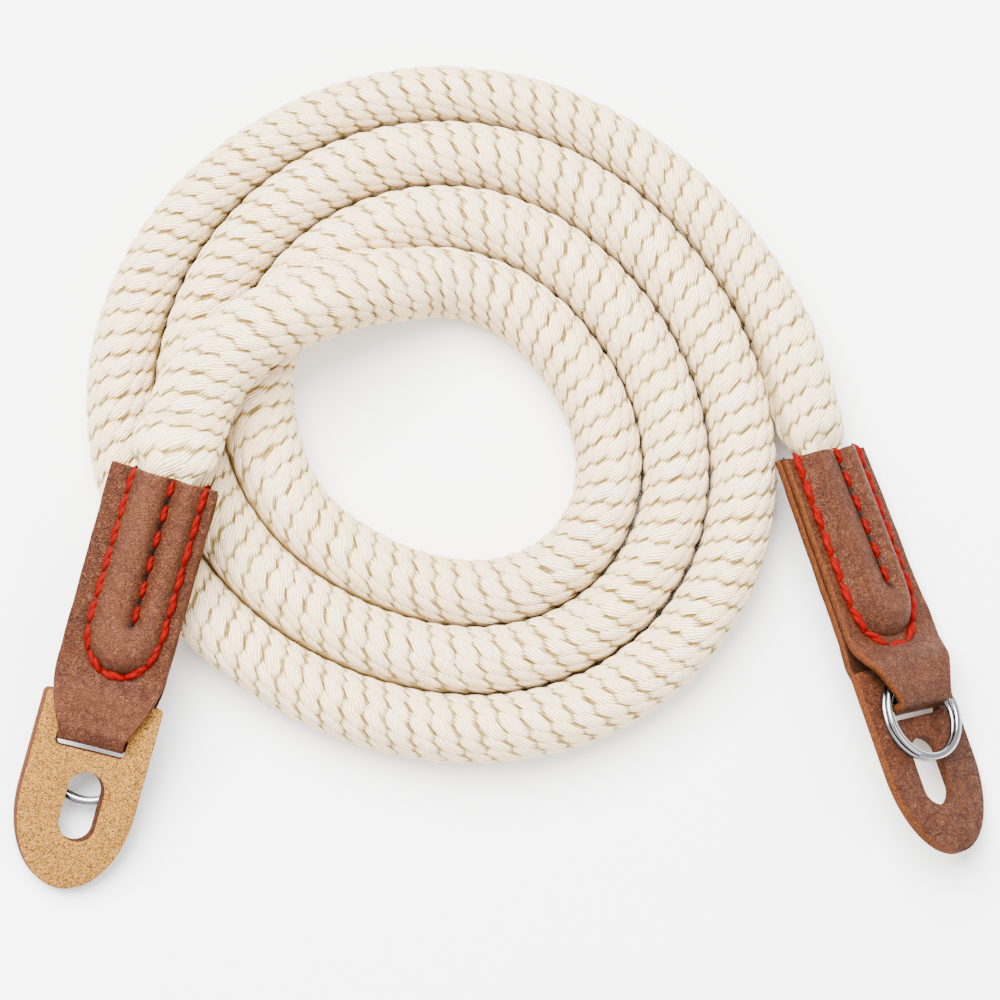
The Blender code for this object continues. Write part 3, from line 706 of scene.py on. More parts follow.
def waxed_thread(tree, settings):
    """Thick waxed polyester thread of twisted plies: saturated red with a dull wax sheen, and painted shade
    darkening it towards its ends, where it dives into the holes.
    """
    place = add_node(tree, "UVMap", {}, uv_map="fibres")
    # The filaments are too fine to see, so they are drawn as streaks 0.11 mm wide
    stretch = {"Vector": place, "Scale": (per_metre(0.11111), per_metre(0.9091), 1.0)}
    streaks = {"Vector": add_node(tree, "Mapping", stretch), "Scale": 1.0, "Detail": 2.0}
    fibres = add_node(tree, "TexNoise", streaks, noise_dimensions="2D")
    deep = add_node(tree, "Attribute", {}, "Fac", attribute_name="hollow")
    light = add_node(tree, "MapRange", {0: fibres, 1: 0.3, 2: 0.7}, **SMOOTH)
    lit = add_node(tree, "Mix", {0: light, 6: linear("#520101"), 7: settings.thread}, **COLOURS)
    # Painted shade: darker towards the stitch's ends, where it dives into the holes
    dived = add_node(tree, "MapRange", {0: deep, 1: 0.3, 4: 0.9}, **SMOOTH)
    colour = add_node(tree, "Mix", {0: dived, 6: lit, 7: linear("#1E0101")}, **COLOURS)
    normal = add_node(tree, "Bump", {"Height": fibres, "Distance": 0.00006, "Strength": 0.8})
    return {"Base Color": colour, "Roughness": 0.6, "Specular IOR Level": 0.03, "Normal": normal}


def bright_nickel(tree):
    """Spring steel wire, tumbled and bright nickel plated: a neutral mirror, faintly hazed by tumbling."""
    place = add_node(tree, "TexCoord", {}, "Object")
    haze = add_node(tree, "TexNoise", {"Vector": place, "Scale": per_metre(1.1111), "Detail": 3.0})
    rough = add_node(tree, "MapRange", {0: haze, 1: 0.3, 2: 0.7, 3: 0.10, 4: 0.18}, **SMOOTH)
    normal = add_node(tree, "Bump", {"Height": haze, "Distance": 0.00001, "Strength": 0.4})
    return {"Base Color": linear("#8C8C90"), "Metallic": 1.0, "Roughness": rough, "Normal": normal}


def white_paper(tree, settings):
    """Seamless white paper: matt, with tooth too fine to see, drawn as coarse as a millimetre."""
    place = add_node(tree, "TexCoord", {}, "Object")
    tooth = add_node(tree, "TexNoise", {"Vector": place, "Scale": per_metre(1.1111), "Detail": 2.0})
    normal = add_node(tree, "Bump", {"Height": tooth, "Distance": 0.00002, "Strength": 1.0})
    return {"Base Color": settings.floor, "Roughness": 0.9, "Specular IOR Level": 0.1, "Normal": normal}


# Making pieces


def add_primitive(name, operator, **sizes):
    """Adds a primitive with nothing else selected, under its name."""
    bpy.ops.object.select_all(action="DESELECT")
    operator(**sizes)
    made = bpy.context.view_layer.objects.active
    made.name = name
    made.data.name = name
    return made


def select_only(piece):
    bpy.ops.object.select_all(action="DESELECT")
    piece.select_set(True)
    bpy.context.view_layer.objects.active = piece


def read_points(mesh):
    points = np.empty(len(mesh.vertices) * 3, np.float32)
    mesh.vertices.foreach_get("co", points)
    return points.reshape(-1, 3).astype(float)


def write_points(mesh, points):
    mesh.vertices.foreach_set("co", np.ascontiguousarray(points, np.float32).ravel())
    mesh.update()


def grid_piece(name, columns, rows, place):
    """A grid primitive whose corners are put where place says, from shares across and down of 0 to 1."""
    grid = bpy.ops.mesh.primitive_grid_add
    piece = add_primitive(name, grid, x_subdivisions=columns, y_subdivisions=rows, size=2)
    flat = read_points(piece.data)
    write_points(piece.data, place((flat[:, 0] + 1) / 2, (1 - flat[:, 1]) / 2))
    return piece


def in_edit_mode(piece, steps):
    """Runs operators on the whole of a piece in edit mode."""
    select_only(piece)
    bpy.ops.object.mode_set(mode="EDIT")
    bpy.ops.mesh.select_all(action="SELECT")
    for operator, settings in steps:
        operator(**settings)
    bpy.ops.object.mode_set(mode="OBJECT")


def apply_modifier(piece, kind, settings):
    """Adds a modifier, sets it, and applies it."""
    select_only(piece)
    added = piece.modifiers.new(kind.lower(), kind)
    for name, value in settings.items():
        setattr(added, name, value)
    bpy.ops.object.modifier_apply(modifier=added.name)


def in_frame(side, points):
    """Points of an end's flat frame, x, y and z, in the part's frame."""
    matrix = np.array(END_FRAMES[side])
    return points @ matrix[:3, :3].T + matrix[:3, 3]


def add_attribute(mesh, name, values):
    layer = mesh.attributes.new(name, "FLOAT", "POINT")
    layer.data.foreach_set("value", np.ascontiguousarray(values, np.float32).ravel())


def add_map(mesh, name, corners):
    """A map with a place for each vertex, in metres."""
    layer = mesh.uv_layers.new(name=name)
    indices = np.empty(len(mesh.loops), np.int32)
    mesh.loops.foreach_get("vertex_index", indices)
    layer.data.foreach_set("uv", np.ascontiguousarray(corners[indices], np.float32).ravel())


def copies(name, template, points):
    """One mesh of many copies of a template's faces. Each row of points has the corners of one copy."""
    count, size, _ = points.shape
    faces = [np.array(polygon.vertices) for polygon in template.polygons]
    corners = (np.concatenate(faces)[None, :] + np.arange(count)[:, None] * size).ravel()
    lengths = np.tile([len(face) for face in faces], count)
    mesh = bpy.data.meshes.new(name)
    mesh.vertices.add(count * size)
    mesh.vertices.foreach_set("co", np.ascontiguousarray(points, np.float32).ravel())
    mesh.loops.add(len(corners))
    mesh.loops.foreach_set("vertex_index", corners.astype(np.int32))
    mesh.polygons.add(len(lengths))
    mesh.polygons.foreach_set("loop_start", (np.cumsum(lengths) - lengths).astype(np.int32))
    mesh.update(calc_edges=True)
    mesh.shade_smooth()
    piece = bpy.data.objects.new(name, mesh)
    bpy.context.scene.collection.objects.link(piece)
    return piece


def finish_piece(piece, materials, nodes=()):
    """Gives a piece its materials and its body, and hides the CAD nodes that it stands for."""
    for material in materials:
        piece.data.materials.append(material)
    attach(piece, "root")
    if nodes:
        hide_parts(*nodes)


# The rope

CORE_STEPS = 700
CORE_SIDES = 24
CORE_SINKS = 0.00005  # below the floats' seat
CORE_FILLS = (0.0006, 0.0010)  # how far it bulges into the groove between two turns, and where they part
TURNS_PART = (215, 46)  # degrees round the coil where the turns lie apart, and how far each way
CORE_WELDS = 0.00002  # closes the grid's long seam
NEIGHBOURED = (350, 20)  # degrees past the coil's start and end between which a turn has another outside it
GROOVE_REACH = (0.90, 1.0)  # shares of the way out to the rope's side where a groove begins and is deepest
FLOOR_CLEAR = 0.00003
BRAID_PIECES = 4
BRAID_SEED = 11
COLUMNS = 12  # strand columns round the rope
COLUMN_SHIFT = 0.25  # of the pitch, from one column to the next one outwards
COLUMN_DRIFT = 8.7  # radians a metre, by which the columns wind round the rope
FLOATS_END = 0.0020  # the floats stop this far inside the tabs
FLOAT_SEGMENTS = 10
FLOAT_RINGS = 10
FLOAT_SEAT = 0.00074  # how deep in the rope the middles of the floats lie
FLOAT_SLANT = 47  # degrees off the rope's own direction
FLOAT_STRAIGHTENS = 16  # degrees less than that at its tails
FLOAT_HEIGHT = 0.00092  # half the thickness of a float
FLOAT_SINKS = 0.00105  # how deep a float's tails dive
FLOAT_DIVES = 3.2  # power on the way to a tail: the higher, the later the dive
FLOAT_FULL = (3.5, 0.55)  # powers that keep it full along most of its length
FLOAT_BOXY = (0.9, 0.6)  # powers on its section's width and height: 1 is round
STRAYS = (0.00006, 0.012, 0.03, 0.00004)  # how floats stray: along, round in radians, in width as a share, up
HOLLOW_DEPTHS = (0.00012, 0.00052)  # below a crest, where the painted shade on the cotton starts and ends
MAP_SHIFT = 0.01  # by which each float and stitch reads another part of its pattern at most
ROPE_SURFACE = ROPE.surface(SECTION_SIDES, FLOAT_SEAT)


def rope_place(at, turn, height):
    """Points of the rope: at metres along it, turn round it in radians, height out of the floats' seat."""
    across, up, out = ROPE_SURFACE
    row = np.clip(at / ROPE.length * (ROPE.count - 1), 0, ROPE.count - 1.001)
    column = (turn / (2 * np.pi) * SECTION_SIDES) % SECTION_SIDES
    i, j = row.astype(int), column.astype(int) % SECTION_SIDES
    k = (j + 1) % SECTION_SIDES
    f, g = (row - i)[..., None], (column - np.floor(column))[..., None]

    def between(grid):
        low = grid[i, j] * (1 - g) + grid[i, k] * g
        high = grid[i + 1, j] * (1 - g) + grid[i + 1, k] * g
        return low * (1 - f) + high * f

    def line(values):
        return values[i] * (1 - f) + values[i + 1] * f

    outwards = between(out) * height[..., None]
    x = between(across[..., None]) + outwards[..., :1]
    z = between(up[..., None]) + outwards[..., 1:]
    points = line(ROPE.middle) + line(ROPE.across) * x + line(ROPE.up) * z
    points[..., 2] = np.maximum(points[..., 2], FLOOR_CLEAR)
    return points


def in_groove(at, turn):
    """How deep in the groove between two turns of the coil a place of the rope lies, from 0 to 1."""
    angle = np.interp(at, ROPE.at, ROPE.angle)
    sideways = np.cos(turn)
    outer_neighbour = (angle > COIL_START + NEIGHBOURED[0]) & (angle < COIL_END + NEIGHBOURED[1])
    inner_neighbour = angle < COIL_END - 360
    beside = np.where(sideways > 0, outer_neighbour, inner_neighbour)
    return ease(np.abs(sideways), *GROOVE_REACH) * beside


def make_core():
    """The inside of the braid, which shows between its floats."""

    def place(around, down):
        at, turn = down * ROPE.length, 2 * np.pi * around
        off_parting = np.abs(np.interp(at, ROPE.at, ROPE.angle) % 360 - TURNS_PART[0])
        fullness = np.interp(at, ROPE.at, ROPE.thick / ROPE_RADIUS) ** 3
        fills = np.interp(off_parting, (TURNS_PART[1], 1.5 * TURNS_PART[1]), CORE_FILLS[::-1])
        return rope_place(at, turn, fills * fullness * in_groove(at, turn) - CORE_SINKS)

    core = grid_piece("rope_core", CORE_SIDES, CORE_STEPS, place)
    steps = [
        (bpy.ops.mesh.remove_doubles, {"threshold": CORE_WELDS}),
        (bpy.ops.mesh.fill_holes, {"sides": 0}),
        (bpy.ops.mesh.normals_make_consistent, {"inside": False}),
    ]
    in_edit_mode(core, steps)
    core.data.shade_smooth()
    return core


def float_places(settings):
    """Where each float's middle lies, along the rope and round it, from one end of the rope to the other."""
    pitch = settings.float_pitch
    first = ROPE_IN - FLOATS_END
    last = ROPE.length - first
    rows = []
    for column in range(COLUMNS):
        shift = column * COLUMN_SHIFT * pitch
        start = math.ceil((first - shift) / pitch)
        end = math.floor((last - shift) / pitch)
        at = np.arange(start, end + 1) * pitch + shift
        turn = math.pi / 2 - 2 * math.pi / COLUMNS * column + COLUMN_DRIFT * at
        rows.append(np.stack([at, turn], axis=1))
    floats = np.concatenate(rows)
    return floats[np.argsort(floats[:, 0], kind="stable")].T


def shape_floats(settings, sphere):
    """All floats of the braid, each a ball of corners stretched from tail to tail: their places, and a hollow
    share, a tone, a groove share and a place on the map for each corner."""
    rng = np.random.default_rng(BRAID_SEED)
    at, turn = float_places(settings)
    count = len(at)
    at = at + rng.normal(0, STRAYS[0], count)
    turn = turn + rng.normal(0, STRAYS[1], count)
    width = settings.float_width / 2 * rng.normal(1, STRAYS[2], count)
    lift = rng.normal(0, STRAYS[3], count)
    # The ball's z runs from tail to tail
    t = sphere[:, 2]
    ring = np.hypot(sphere[:, 0], sphere[:, 1])
    at_pole = ring <= 1e-6
    side, out = np.where(at_pole, 0.0, sphere[:, :2].T / np.maximum(ring, 1e-6))
    side = np.sign(side) * np.abs(side) ** FLOAT_BOXY[0]
    out = np.sign(out) * np.abs(out) ** FLOAT_BOXY[1]
    fullness = (1 - np.minimum(np.abs(t), 1) ** FLOAT_FULL[0]) ** FLOAT_FULL[1]
    fullness[at_pole] = 0.0
    slant = np.radians(FLOAT_SLANT) - np.radians(FLOAT_STRAIGHTENS) * t**2
    reach = settings.float_length / 2 * t
    across = width[:, None] * (fullness * side)
    x = reach * np.cos(slant) - across * np.sin(slant)
    y = reach * np.sin(slant) + across * np.cos(slant)
    height = FLOAT_HEIGHT * fullness * out - FLOAT_SINKS * np.abs(t) ** FLOAT_DIVES + lift[:, None]
    place_turn = turn[:, None] - y / ROPE_RADIUS
    flatness = np.interp(at, ROPE.at, ROPE.thick / ROPE_RADIUS)
    points = rope_place(at[:, None] + x, place_turn, height * flatness[:, None])
    hollow = ease(FLOAT_HEIGHT - height, *HOLLOW_DEPTHS)
    tone = np.repeat(rng.random(count)[:, None], len(t), axis=1)
    groove = in_groove(np.repeat(at[:, None], len(t), axis=1), place_turn)
    fibres = np.stack([across + MAP_SHIFT * tone, reach + MAP_SHIFT * rng.random(count)[:, None]], axis=2)
    return points, {"hollow": hollow, "tone": tone, "groove": groove}, fibres


class STRAP_OT_rope(bpy.types.Operator):
    """Braid the cotton rope along its coiled route"""

    bl_idname = "strap.rope"
    bl_label = "Rope"

    def execute(self, context):
        settings = context.scene.strap_rope
        core = make_core()
        finish_piece(core, [new_material("braid_core_cotton", braid_core)], ["rope"])
        sphere = bpy.ops.mesh.primitive_uv_sphere_add
        ball = add_primitive("float", sphere, segments=FLOAT_SEGMENTS, ring_count=FLOAT_RINGS, radius=1)
        points, shares, fibres = shape_floats(settings, read_points(ball.data))
        cotton = new_material("braided_loomstate_cotton", braided_cotton, settings)
        edges = np.linspace(0, len(points), BRAID_PIECES + 1).astype(int)
        for number, (low, high) in enumerate(zip(edges, edges[1:]), 1):
            piece = copies(f"rope_braid_{number}", ball.data, points[low:high])
            for name, values in shares.items():
                add_attribute(piece.data, name, values[low:high])
            add_map(piece.data, "fibres", fibres[low:high].reshape(-1, 2))
            finish_piece(piece, [cotton])
        bpy.data.objects.remove(ball)
        return {"FINISHED"}


# The leather

TAB_COLUMNS = 76
TAB_ROWS = 300
TAB_CREASING = 0.35  # how deep its creases are and how dark their painted shade
EDGE_DULL = "#401E0E"
BACK_SHORT = 0.0006  # the camera side's layer ends this much below the other at the mouth
EDGE_WANDER = 0.00006  # how uneven the hand-cut edges are
EDGE_WAVES = ((0.0031, 0.4), (0.0072, 1.0), (0.0113, 0.8))  # length and share of each wave along them
FOLD_DROPS = 0.35  # how far the whole fold has dropped, as a share of its bow
FOLD_CURVES = 0.10  # and its corners besides
SKEWS = {"left": 0.05, "right": 0.0}  # slope of the fold and of the slot, off square
NECK_SIDE = ((0.00, 0.00), (0.12, 0.00), (0.30, 0.10), (0.50, 0.30), (0.74, 0.68), (0.90, 0.97), (1.00, 1.00))
NECK_SOFTENED = 0.03  # step over which its outline is averaged, as a share of the neck
RIGHT_EDGE = (
    (0.0000, -0.0002),
    (0.0120, 0.0005),
    (0.0225, 0.0008),
    (0.0265, 0.0012),
    (0.0300, 0.0018),
    (0.0320, 0.0013),
    (0.0335, 0.0008),
    (0.0354, 0.0002),
    (0.0368, -0.0003),
    (0.0385, 0.0001),
    (0.0410, 0.0004),
    (0.0425, 0.0001),
)  # how far the right tab's outer edge stands out, by the way down
RIGHT_EDGE_SOFTENED = 0.0012
STITCH_HALF = 0.0061  # from the middle to the outer seam
STITCH_TOP = -0.0001
SEAM_TOP = -0.0005
SEAM_PITCH = 0.94  # the middle seam's stitch length, as a share of the outer line's
THREAD_SINKS = 0.00022  # how deep the thread pulls the leather in
THREAD_GROOVE = 0.0007
PIT_DEPTH = 1.6  # at a hole, as a share of that
PIT_RADIUS = 0.00055
PIT_REACHES = (0.00045, 0.00100)  # of the painted shade round a hole: outer line, middle seam
PAINTED_SHEEN = {"left": (1.0, 0.9), "right": (0.7, 0.0)}  # painted sheen: how much paler the ridges and the neck are drawn
NECK_SHEEN = (0.005, 0.002)  # below the shoulder and before the fold, over which that painted sheen comes and goes
STRIP_STEPS = 40
SEAM_STEPS = 60


def strip_profile():
    """The folded strip seen from the side, as points (down, height), finely and smoothly spaced."""
    way = TAB_FOLD - SHOULDER
    points = [Vector((SHOULDER * i / STRIP_STEPS, LAYER_LEVEL, 0)) for i in range(STRIP_STEPS)]
    for along, rise in OVER_RING:
        level = LAYER_LEVEL + (OVER_RING_LEVEL - LAYER_LEVEL) * rise
        points.append(Vector((SHOULDER + way * along, level, 0)))
    points.append(Vector((TAB_FOLD, 0, 0)))
    for along, step in UNDER_GUARD:
        level = LAYER_LEVEL + (UNDER_GUARD_LEVEL - LAYER_LEVEL) * step
        points.append(Vector((SHOULDER + way * along, -level, 0)))
    points += [Vector((SHOULDER * i / STRIP_STEPS, -LAYER_LEVEL, 0)) for i in reversed(range(STRIP_STEPS))]
    points[0].x = BACK_SHORT
    return np.array(smooth_line(points, 8))[:, :2]


STRIP = strip_profile()
STRIP_ALONG = length_along(STRIP)


def even_points(line, pitch):
    """Points of a line a whole number of steps apart, each about the pitch."""
    line = np.array(line)
    along = length_along(line)
    return read_line(line, along, np.linspace(0, along[-1], round(along[-1] / pitch) + 1))


def seam_lines(settings, side):
    """The holes round the ridges from one top edge to the other, and those of the sunk seam between them:
    points (across, down)."""
    drop = STITCH_BOTTOMS[side] - RIDGE_STRAIGHT
    turn = np.linspace(0, np.pi, SEAM_STEPS)
    outer = [(STITCH_HALF, STITCH_TOP)]
    outer += [(STITCH_HALF * math.cos(t), RIDGE_STRAIGHT + drop * math.sin(t)) for t in turn]
    outer += [(-STITCH_HALF, STITCH_TOP)]
    seam = [(0.0, SEAM_TOP), (0.0, SEAM_HOLE)]
    return even_points(outer, settings.pitch), even_points(seam, settings.pitch * SEAM_PITCH)


def near_line(across, down, line):
    """The distance of each point from a line of straight pieces."""
    best = np.full(across.shape, 1.0)
    for (x0, y0), (x1, y1) in zip(line, line[1:]):
        dx, dy = x1 - x0, y1 - y0
        t = np.clip(((across - x0) * dx + (down - y0) * dy) / (dx * dx + dy * dy), 0, 1)
        best = np.minimum(best, np.hypot(across - x0 - t * dx, down - y0 - t * dy))
    return best


def near_points(across, down, points):
    return np.min([np.hypot(across - x, down - y) for x, y in points], axis=0)


def leather_relief(across, down, lines):
    """How far the thread pulls each layer in."""
    sunk = np.zeros_like(across)
    for line in lines:
        sunk = np.maximum(sunk, np.exp(-((near_line(across, down, line) / THREAD_GROOVE) ** 2)))
        sunk = np.maximum(sunk, PIT_DEPTH * np.exp(-((near_points(across, down, line) / PIT_RADIUS) ** 2)))
    return THREAD_SINKS * sunk


def tab_half(down, at, share_across, side):
    """Half the strip's width, a little uneven along its hand-cut edges."""
    narrowing = table_softened(NECK_SIDE, (down - SHOULDER) / (TAB_FOLD - SHOULDER), NECK_SOFTENED)
    phase = np.where(share_across > 0, 1.0, 2.3) + (side == "left")
    wander = sum(size * np.sin(2 * np.pi * at / length + phase * length * 1e3) for length, size in EDGE_WAVES)
    wander /= sum(size for length, size in EDGE_WAVES)
    half = (TAB_WIDTH + (NECK_WIDTH - TAB_WIDTH) * narrowing) / 2 + EDGE_WANDER * (wander - 1)
    if side == "right":
        curled = table_softened(RIGHT_EDGE, down, RIGHT_EDGE_SOFTENED)
        half = half + np.where(share_across > 0, curled, 0.0)
    return half


def make_tab(name, side, lines):
    """The strip folded over the ring, with the rope's ridges and the pits of the seams in it."""

    def place(column, row):
        at = row * STRIP_ALONG[-1]
        down, level = read_line(STRIP, STRIP_ALONG, at).T
        share_across = column * 2 - 1
        across = share_across * tab_half(down, at, share_across, side)
        relief = leather_relief(in_pattern(across, down, side), down, lines)
        height = level + np.sign(level) * (ridge(down, across, side) - relief)
        bow = FOLD_BOW * (FOLD_DROPS + FOLD_CURVES * share_across**2) + SKEWS[side] * across
        bow *= ease(down, SHOULDER, TAB_FOLD)
        return in_frame(side, np.stack([across, -down - bow, height], axis=1))

    tab = grid_piece(name, TAB_COLUMNS, TAB_ROWS, place)
    to_frame = np.array(END_FRAMES[side].inverted())
    across, up, _ = (read_points(tab.data) @ to_frame[:3, :3].T + to_frame[:3, 3]).T
    down = -up
    # Attributes for the leather's colour: painted shade round the stitch holes and painted sheen on the
    # ridges and the neck
    hole_shade = np.zeros(len(down))
    for line, reach in zip(lines, PIT_REACHES):
        away = near_points(in_pattern(across, down, side), down, line)
        hole_shade = np.maximum(hole_shade, np.exp(-((away / reach) ** 2)))
    on_ridge = ridge(down, across, side) / RIDGE_HEIGHT
    on_neck = ease(down, SHOULDER, SHOULDER + NECK_SHEEN[0])
    on_neck *= 1 - ease(down, TAB_FOLD - NECK_SHEEN[1], TAB_FOLD)
    add_attribute(tab.data, "hole_shade", hole_shade)
    add_attribute(tab.data, "painted_sheen", np.maximum(PAINTED_SHEEN[side][0] * on_ridge, PAINTED_SHEEN[side][1] * on_neck))
    return tab


class STRAP_OT_tabs(bpy.types.Operator):
    """Fold the two leather tabs over the flattened ends of the rope"""

    bl_idname = "strap.tabs"
    bl_label = "Tabs"

    def execute(self, context):
        leather = context.scene.strap_leather
        # The flesh sides that face each other inside the fold are drawn dark as painted shade
        inside_shade = [linear(tone) for tone in ("#2E1A0E", "#45291A", "#1C0F08")]
        finishes = [
            new_material("waxed_vegetable_tanned_leather", grain_side, leather, TAB_CREASING),
            new_material("shaded_leather_inside", suede, *inside_shade),
            new_material("raw_cut_leather_edge", cut_edge, linear(EDGE_DULL), leather.edge),
        ]
        wall = {"thickness": LEATHER, "offset": 0.0, "material_offset": 1, "material_offset_rim": 2}
        for side in END_FRAMES:
            tab = make_tab(f"leather_tab_{side}", side, seam_lines(context.scene.strap_stitches, side))
            finish_piece(tab, finishes, [f"tab_{side}"])
            apply_modifier(tab, "SOLIDIFY", wall)
            tab.data.shade_smooth()
        return {"FINISHED"}


# The guards

GUARD_CREASING = 0.62
GUARD_SLANTS = {"left": 0.0010, "right": 0.0}  # how far one face lies beside the other
SLANT_BESIDE = 0.002  # how far off the neck the slant is whole
GUARD_TOP_SKEWED = {"left": 0.04, "right": 0.0}  # slope of its top, over the slot's
HOLE_ASIDE = {"left": -0.0008, "right": -0.0006}
TIP_SEGMENTS = 32
CORNER_SEGMENTS = 6
SLOT_CORNER = 0.0007
SLOT_SEGMENTS = 4
HOLE_SIDES = 64
CUT_THROUGH = 3 * GUARD_THICKNESS
RIM_BEVEL = 0.00012  # the cut edges of the leather are rubbed this round
RIM_ANGLE = math.radians(50)  # an edge sharper than this is rubbed
GUARD_SMOOTH = math.radians(40)
HAIR = 0.00001  # keeps a comparison of places off its limit
FINISH_OF_WALL = {"grain": 0, "flesh": 1, "edge": 2, "hole": 3}


def select_where(piece, chosen):
    """Selects, in edit mode, the vertices whose place passes the test chosen."""
    bpy.ops.mesh.select_all(action="DESELECT")
    bpy.ops.mesh.select_mode(type="VERT")
    bpy.ops.object.mode_set(mode="OBJECT")
    for vertex in piece.data.vertices:
        vertex.select = chosen(vertex.co)
    bpy.ops.object.mode_set(mode="EDIT")


def round_upright(piece, chosen, radius, segments):
    """Bevels the upright edges whose place passes the test chosen."""
    bpy.context.tool_settings.mesh_select_mode = (False, True, False)
    for edge in piece.data.edges:
        a, b = (piece.data.vertices[i].co for i in edge.vertices)
        edge.select = abs(a.z - b.z) > GUARD_THICKNESS / 2 and chosen(a)
    for part in (*piece.data.vertices, *piece.data.polygons):
        part.select = False
    bpy.ops.object.mode_set(mode="EDIT")
    bpy.ops.mesh.bevel(offset=radius, segments=segments, affect="EDGES", clamp_overlap=False)
    bpy.ops.object.mode_set(mode="OBJECT")


def add_block(name, top, bottom, width, depth):
    """A block across the middle line, from top to bottom."""
    place = (0, (top + bottom) / 2, 0)
    block = add_primitive(
        name, bpy.ops.mesh.primitive_cube_add, size=1, location=place, scale=(width, top - bottom, depth)
    )
    bpy.ops.object.transform_apply(location=True, rotation=False, scale=True)
    return block


def make_plate(name):
    """The guard's tongue: a plate with small round corners above and a half-elliptical tip below."""
    half = GUARD_WIDTH / 2
    middle = -GUARD_TIP + GUARD_TIP_ROUND
    plate = add_block(name, -GUARD_TOP, middle - half, GUARD_WIDTH, GUARD_THICKNESS)
    round_upright(plate, lambda place: place.y < middle, half - HAIR, TIP_SEGMENTS)
    round_upright(plate, lambda place: place.y > -GUARD_TOP - GUARD_CORNER / 2, GUARD_CORNER, CORNER_SEGMENTS)
    bpy.ops.object.mode_set(mode="EDIT")
    select_where(plate, lambda place: place.y < middle + HAIR)
    bpy.ops.transform.resize(value=(1, GUARD_TIP_ROUND / half, 1), center_override=(0, middle, 0))
    bpy.ops.object.mode_set(mode="OBJECT")
    return plate


def make_slot():
    """What is cut out for the neck: it clears the leather, and leaves daylight below it."""
    high = CLEAR - TAB_FOLD + LEATHER / 2
    low = -TAB_FOLD - LEATHER / 2 - SLOT_LOWER_GAP
    slot = add_block("slot_cutter", high, low, NECK_WIDTH + 2 * CLEAR, CUT_THROUGH)
    round_upright(slot, lambda place: place.y < (high + low) / 2, SLOT_CORNER, SLOT_SEGMENTS)
    return slot


def make_hole(side):
    """What is cut out for the lug or a fingertip: a round bar drawn out to an oval one."""
    hole = add_primitive(
        "hole_cutter",
        bpy.ops.mesh.primitive_cylinder_add,
        vertices=HOLE_SIDES,
        radius=HOLE_WIDTH / 2,
        depth=CUT_THROUGH,
        location=(HOLE_ASIDE[side], -HOLE_MIDDLE, 0),
    )
    bpy.ops.object.transform_apply(location=True)
    bpy.ops.object.mode_set(mode="EDIT")
    for sign in (1, -1):
        select_where(hole, lambda place: sign * (place.y + HOLE_MIDDLE) > HAIR)
        bpy.ops.transform.translate(value=(0, sign * (HOLE_LENGTH - HOLE_WIDTH) / 2, 0))
    bpy.ops.object.mode_set(mode="OBJECT")
    return hole


def name_wall(polygon, side):
    """Which of the leather's surfaces a face of the guard is."""
    if abs(polygon.normal.z) > 0.9:
        return "grain" if polygon.normal.z > 0 else "flesh"
    off_x = abs(polygon.center.x - HOLE_ASIDE[side])
    off_y = abs(polygon.center.y + HOLE_MIDDLE)
    in_hole = off_x < HOLE_WIDTH / 2 + RIM_BEVEL and off_y < HOLE_LENGTH / 2 + RIM_BEVEL
    return "hole" if in_hole else "edge"


def make_guard(name, side, finishes):
    guard = make_plate(name)
    for cutter in (make_slot(), make_hole(side)):
        apply_modifier(guard, "BOOLEAN", {"operation": "DIFFERENCE", "solver": "EXACT", "object": cutter})
        bpy.data.objects.remove(cutter)
    rounding = {
        "width": RIM_BEVEL,
        "segments": 2,
        "limit_method": "ANGLE",
        "angle_limit": RIM_ANGLE,
        "use_clamp_overlap": True,
    }
    apply_modifier(guard, "BEVEL", rounding)
    finish_piece(guard, finishes, [f"guard_{side}"])
    for polygon in guard.data.polygons:
        polygon.material_index = FINISH_OF_WALL[name_wall(polygon, side)]
    points = read_points(guard.data)
    # The knife cut the left guard's walls at a slant, clear of the neck in its slot
    clear = np.maximum(
        ease(np.abs(points[:, 0]), NECK_WIDTH / 2 + CLEAR, NECK_WIDTH / 2 + SLANT_BESIDE),
        ease(-points[:, 1], TAB_FOLD + LEATHER, TAB_FOLD + 3 * LEATHER),
    )
    points[:, 0] += GUARD_SLANTS[side] * clear * points[:, 2] / GUARD_THICKNESS
    # Its slot and its top are skewed with the fold
    above_hole = ease(points[:, 1], -TAB_FOLD - 4 * LEATHER, -TAB_FOLD - 2 * LEATHER)
    at_top = ease(points[:, 1], -TAB_FOLD, -GUARD_TOP)
    points[:, 1] -= points[:, 0] * (SKEWS[side] * above_hole + GUARD_TOP_SKEWED[side] * at_top)
    write_points(guard.data, in_frame(side, points))
    bpy.ops.object.shade_smooth_by_angle(angle=GUARD_SMOOTH)


class STRAP_OT_guards(bpy.types.Operator):
    """Cut the two slotted leather guards that lie between the rings and the camera"""

    bl_idname = "strap.guards"
    bl_label = "Guards"

    def execute(self, context):
        leather = context.scene.strap_leather
        # The flesh side of split hide, sanded to a short nap, is tan and speckled by fibre ends
        finishes = [
            new_material("creased_vegetable_tanned_leather", grain_side, leather, GUARD_CREASING),
            new_material("sanded_suede_split", suede, linear("#593915"), leather.flesh, linear("#2E1808")),
            new_material("cut_leather_guard_edge", cut_edge, linear(EDGE_DULL), leather.edge),
            # The walls of the hole get darker tones, as painted shade
            new_material("shaded_leather_hole_wall", cut_edge, linear("#2A140A"), linear("#452411")),
        ]
        for side in END_FRAMES:
            make_guard(f"leather_guard_{side}", side, finishes)
        return {"FINISHED"}


# The split rings

RING_STEPS = 144
WIRE_SIDES = 16
RING_SMOOTH = math.radians(50)


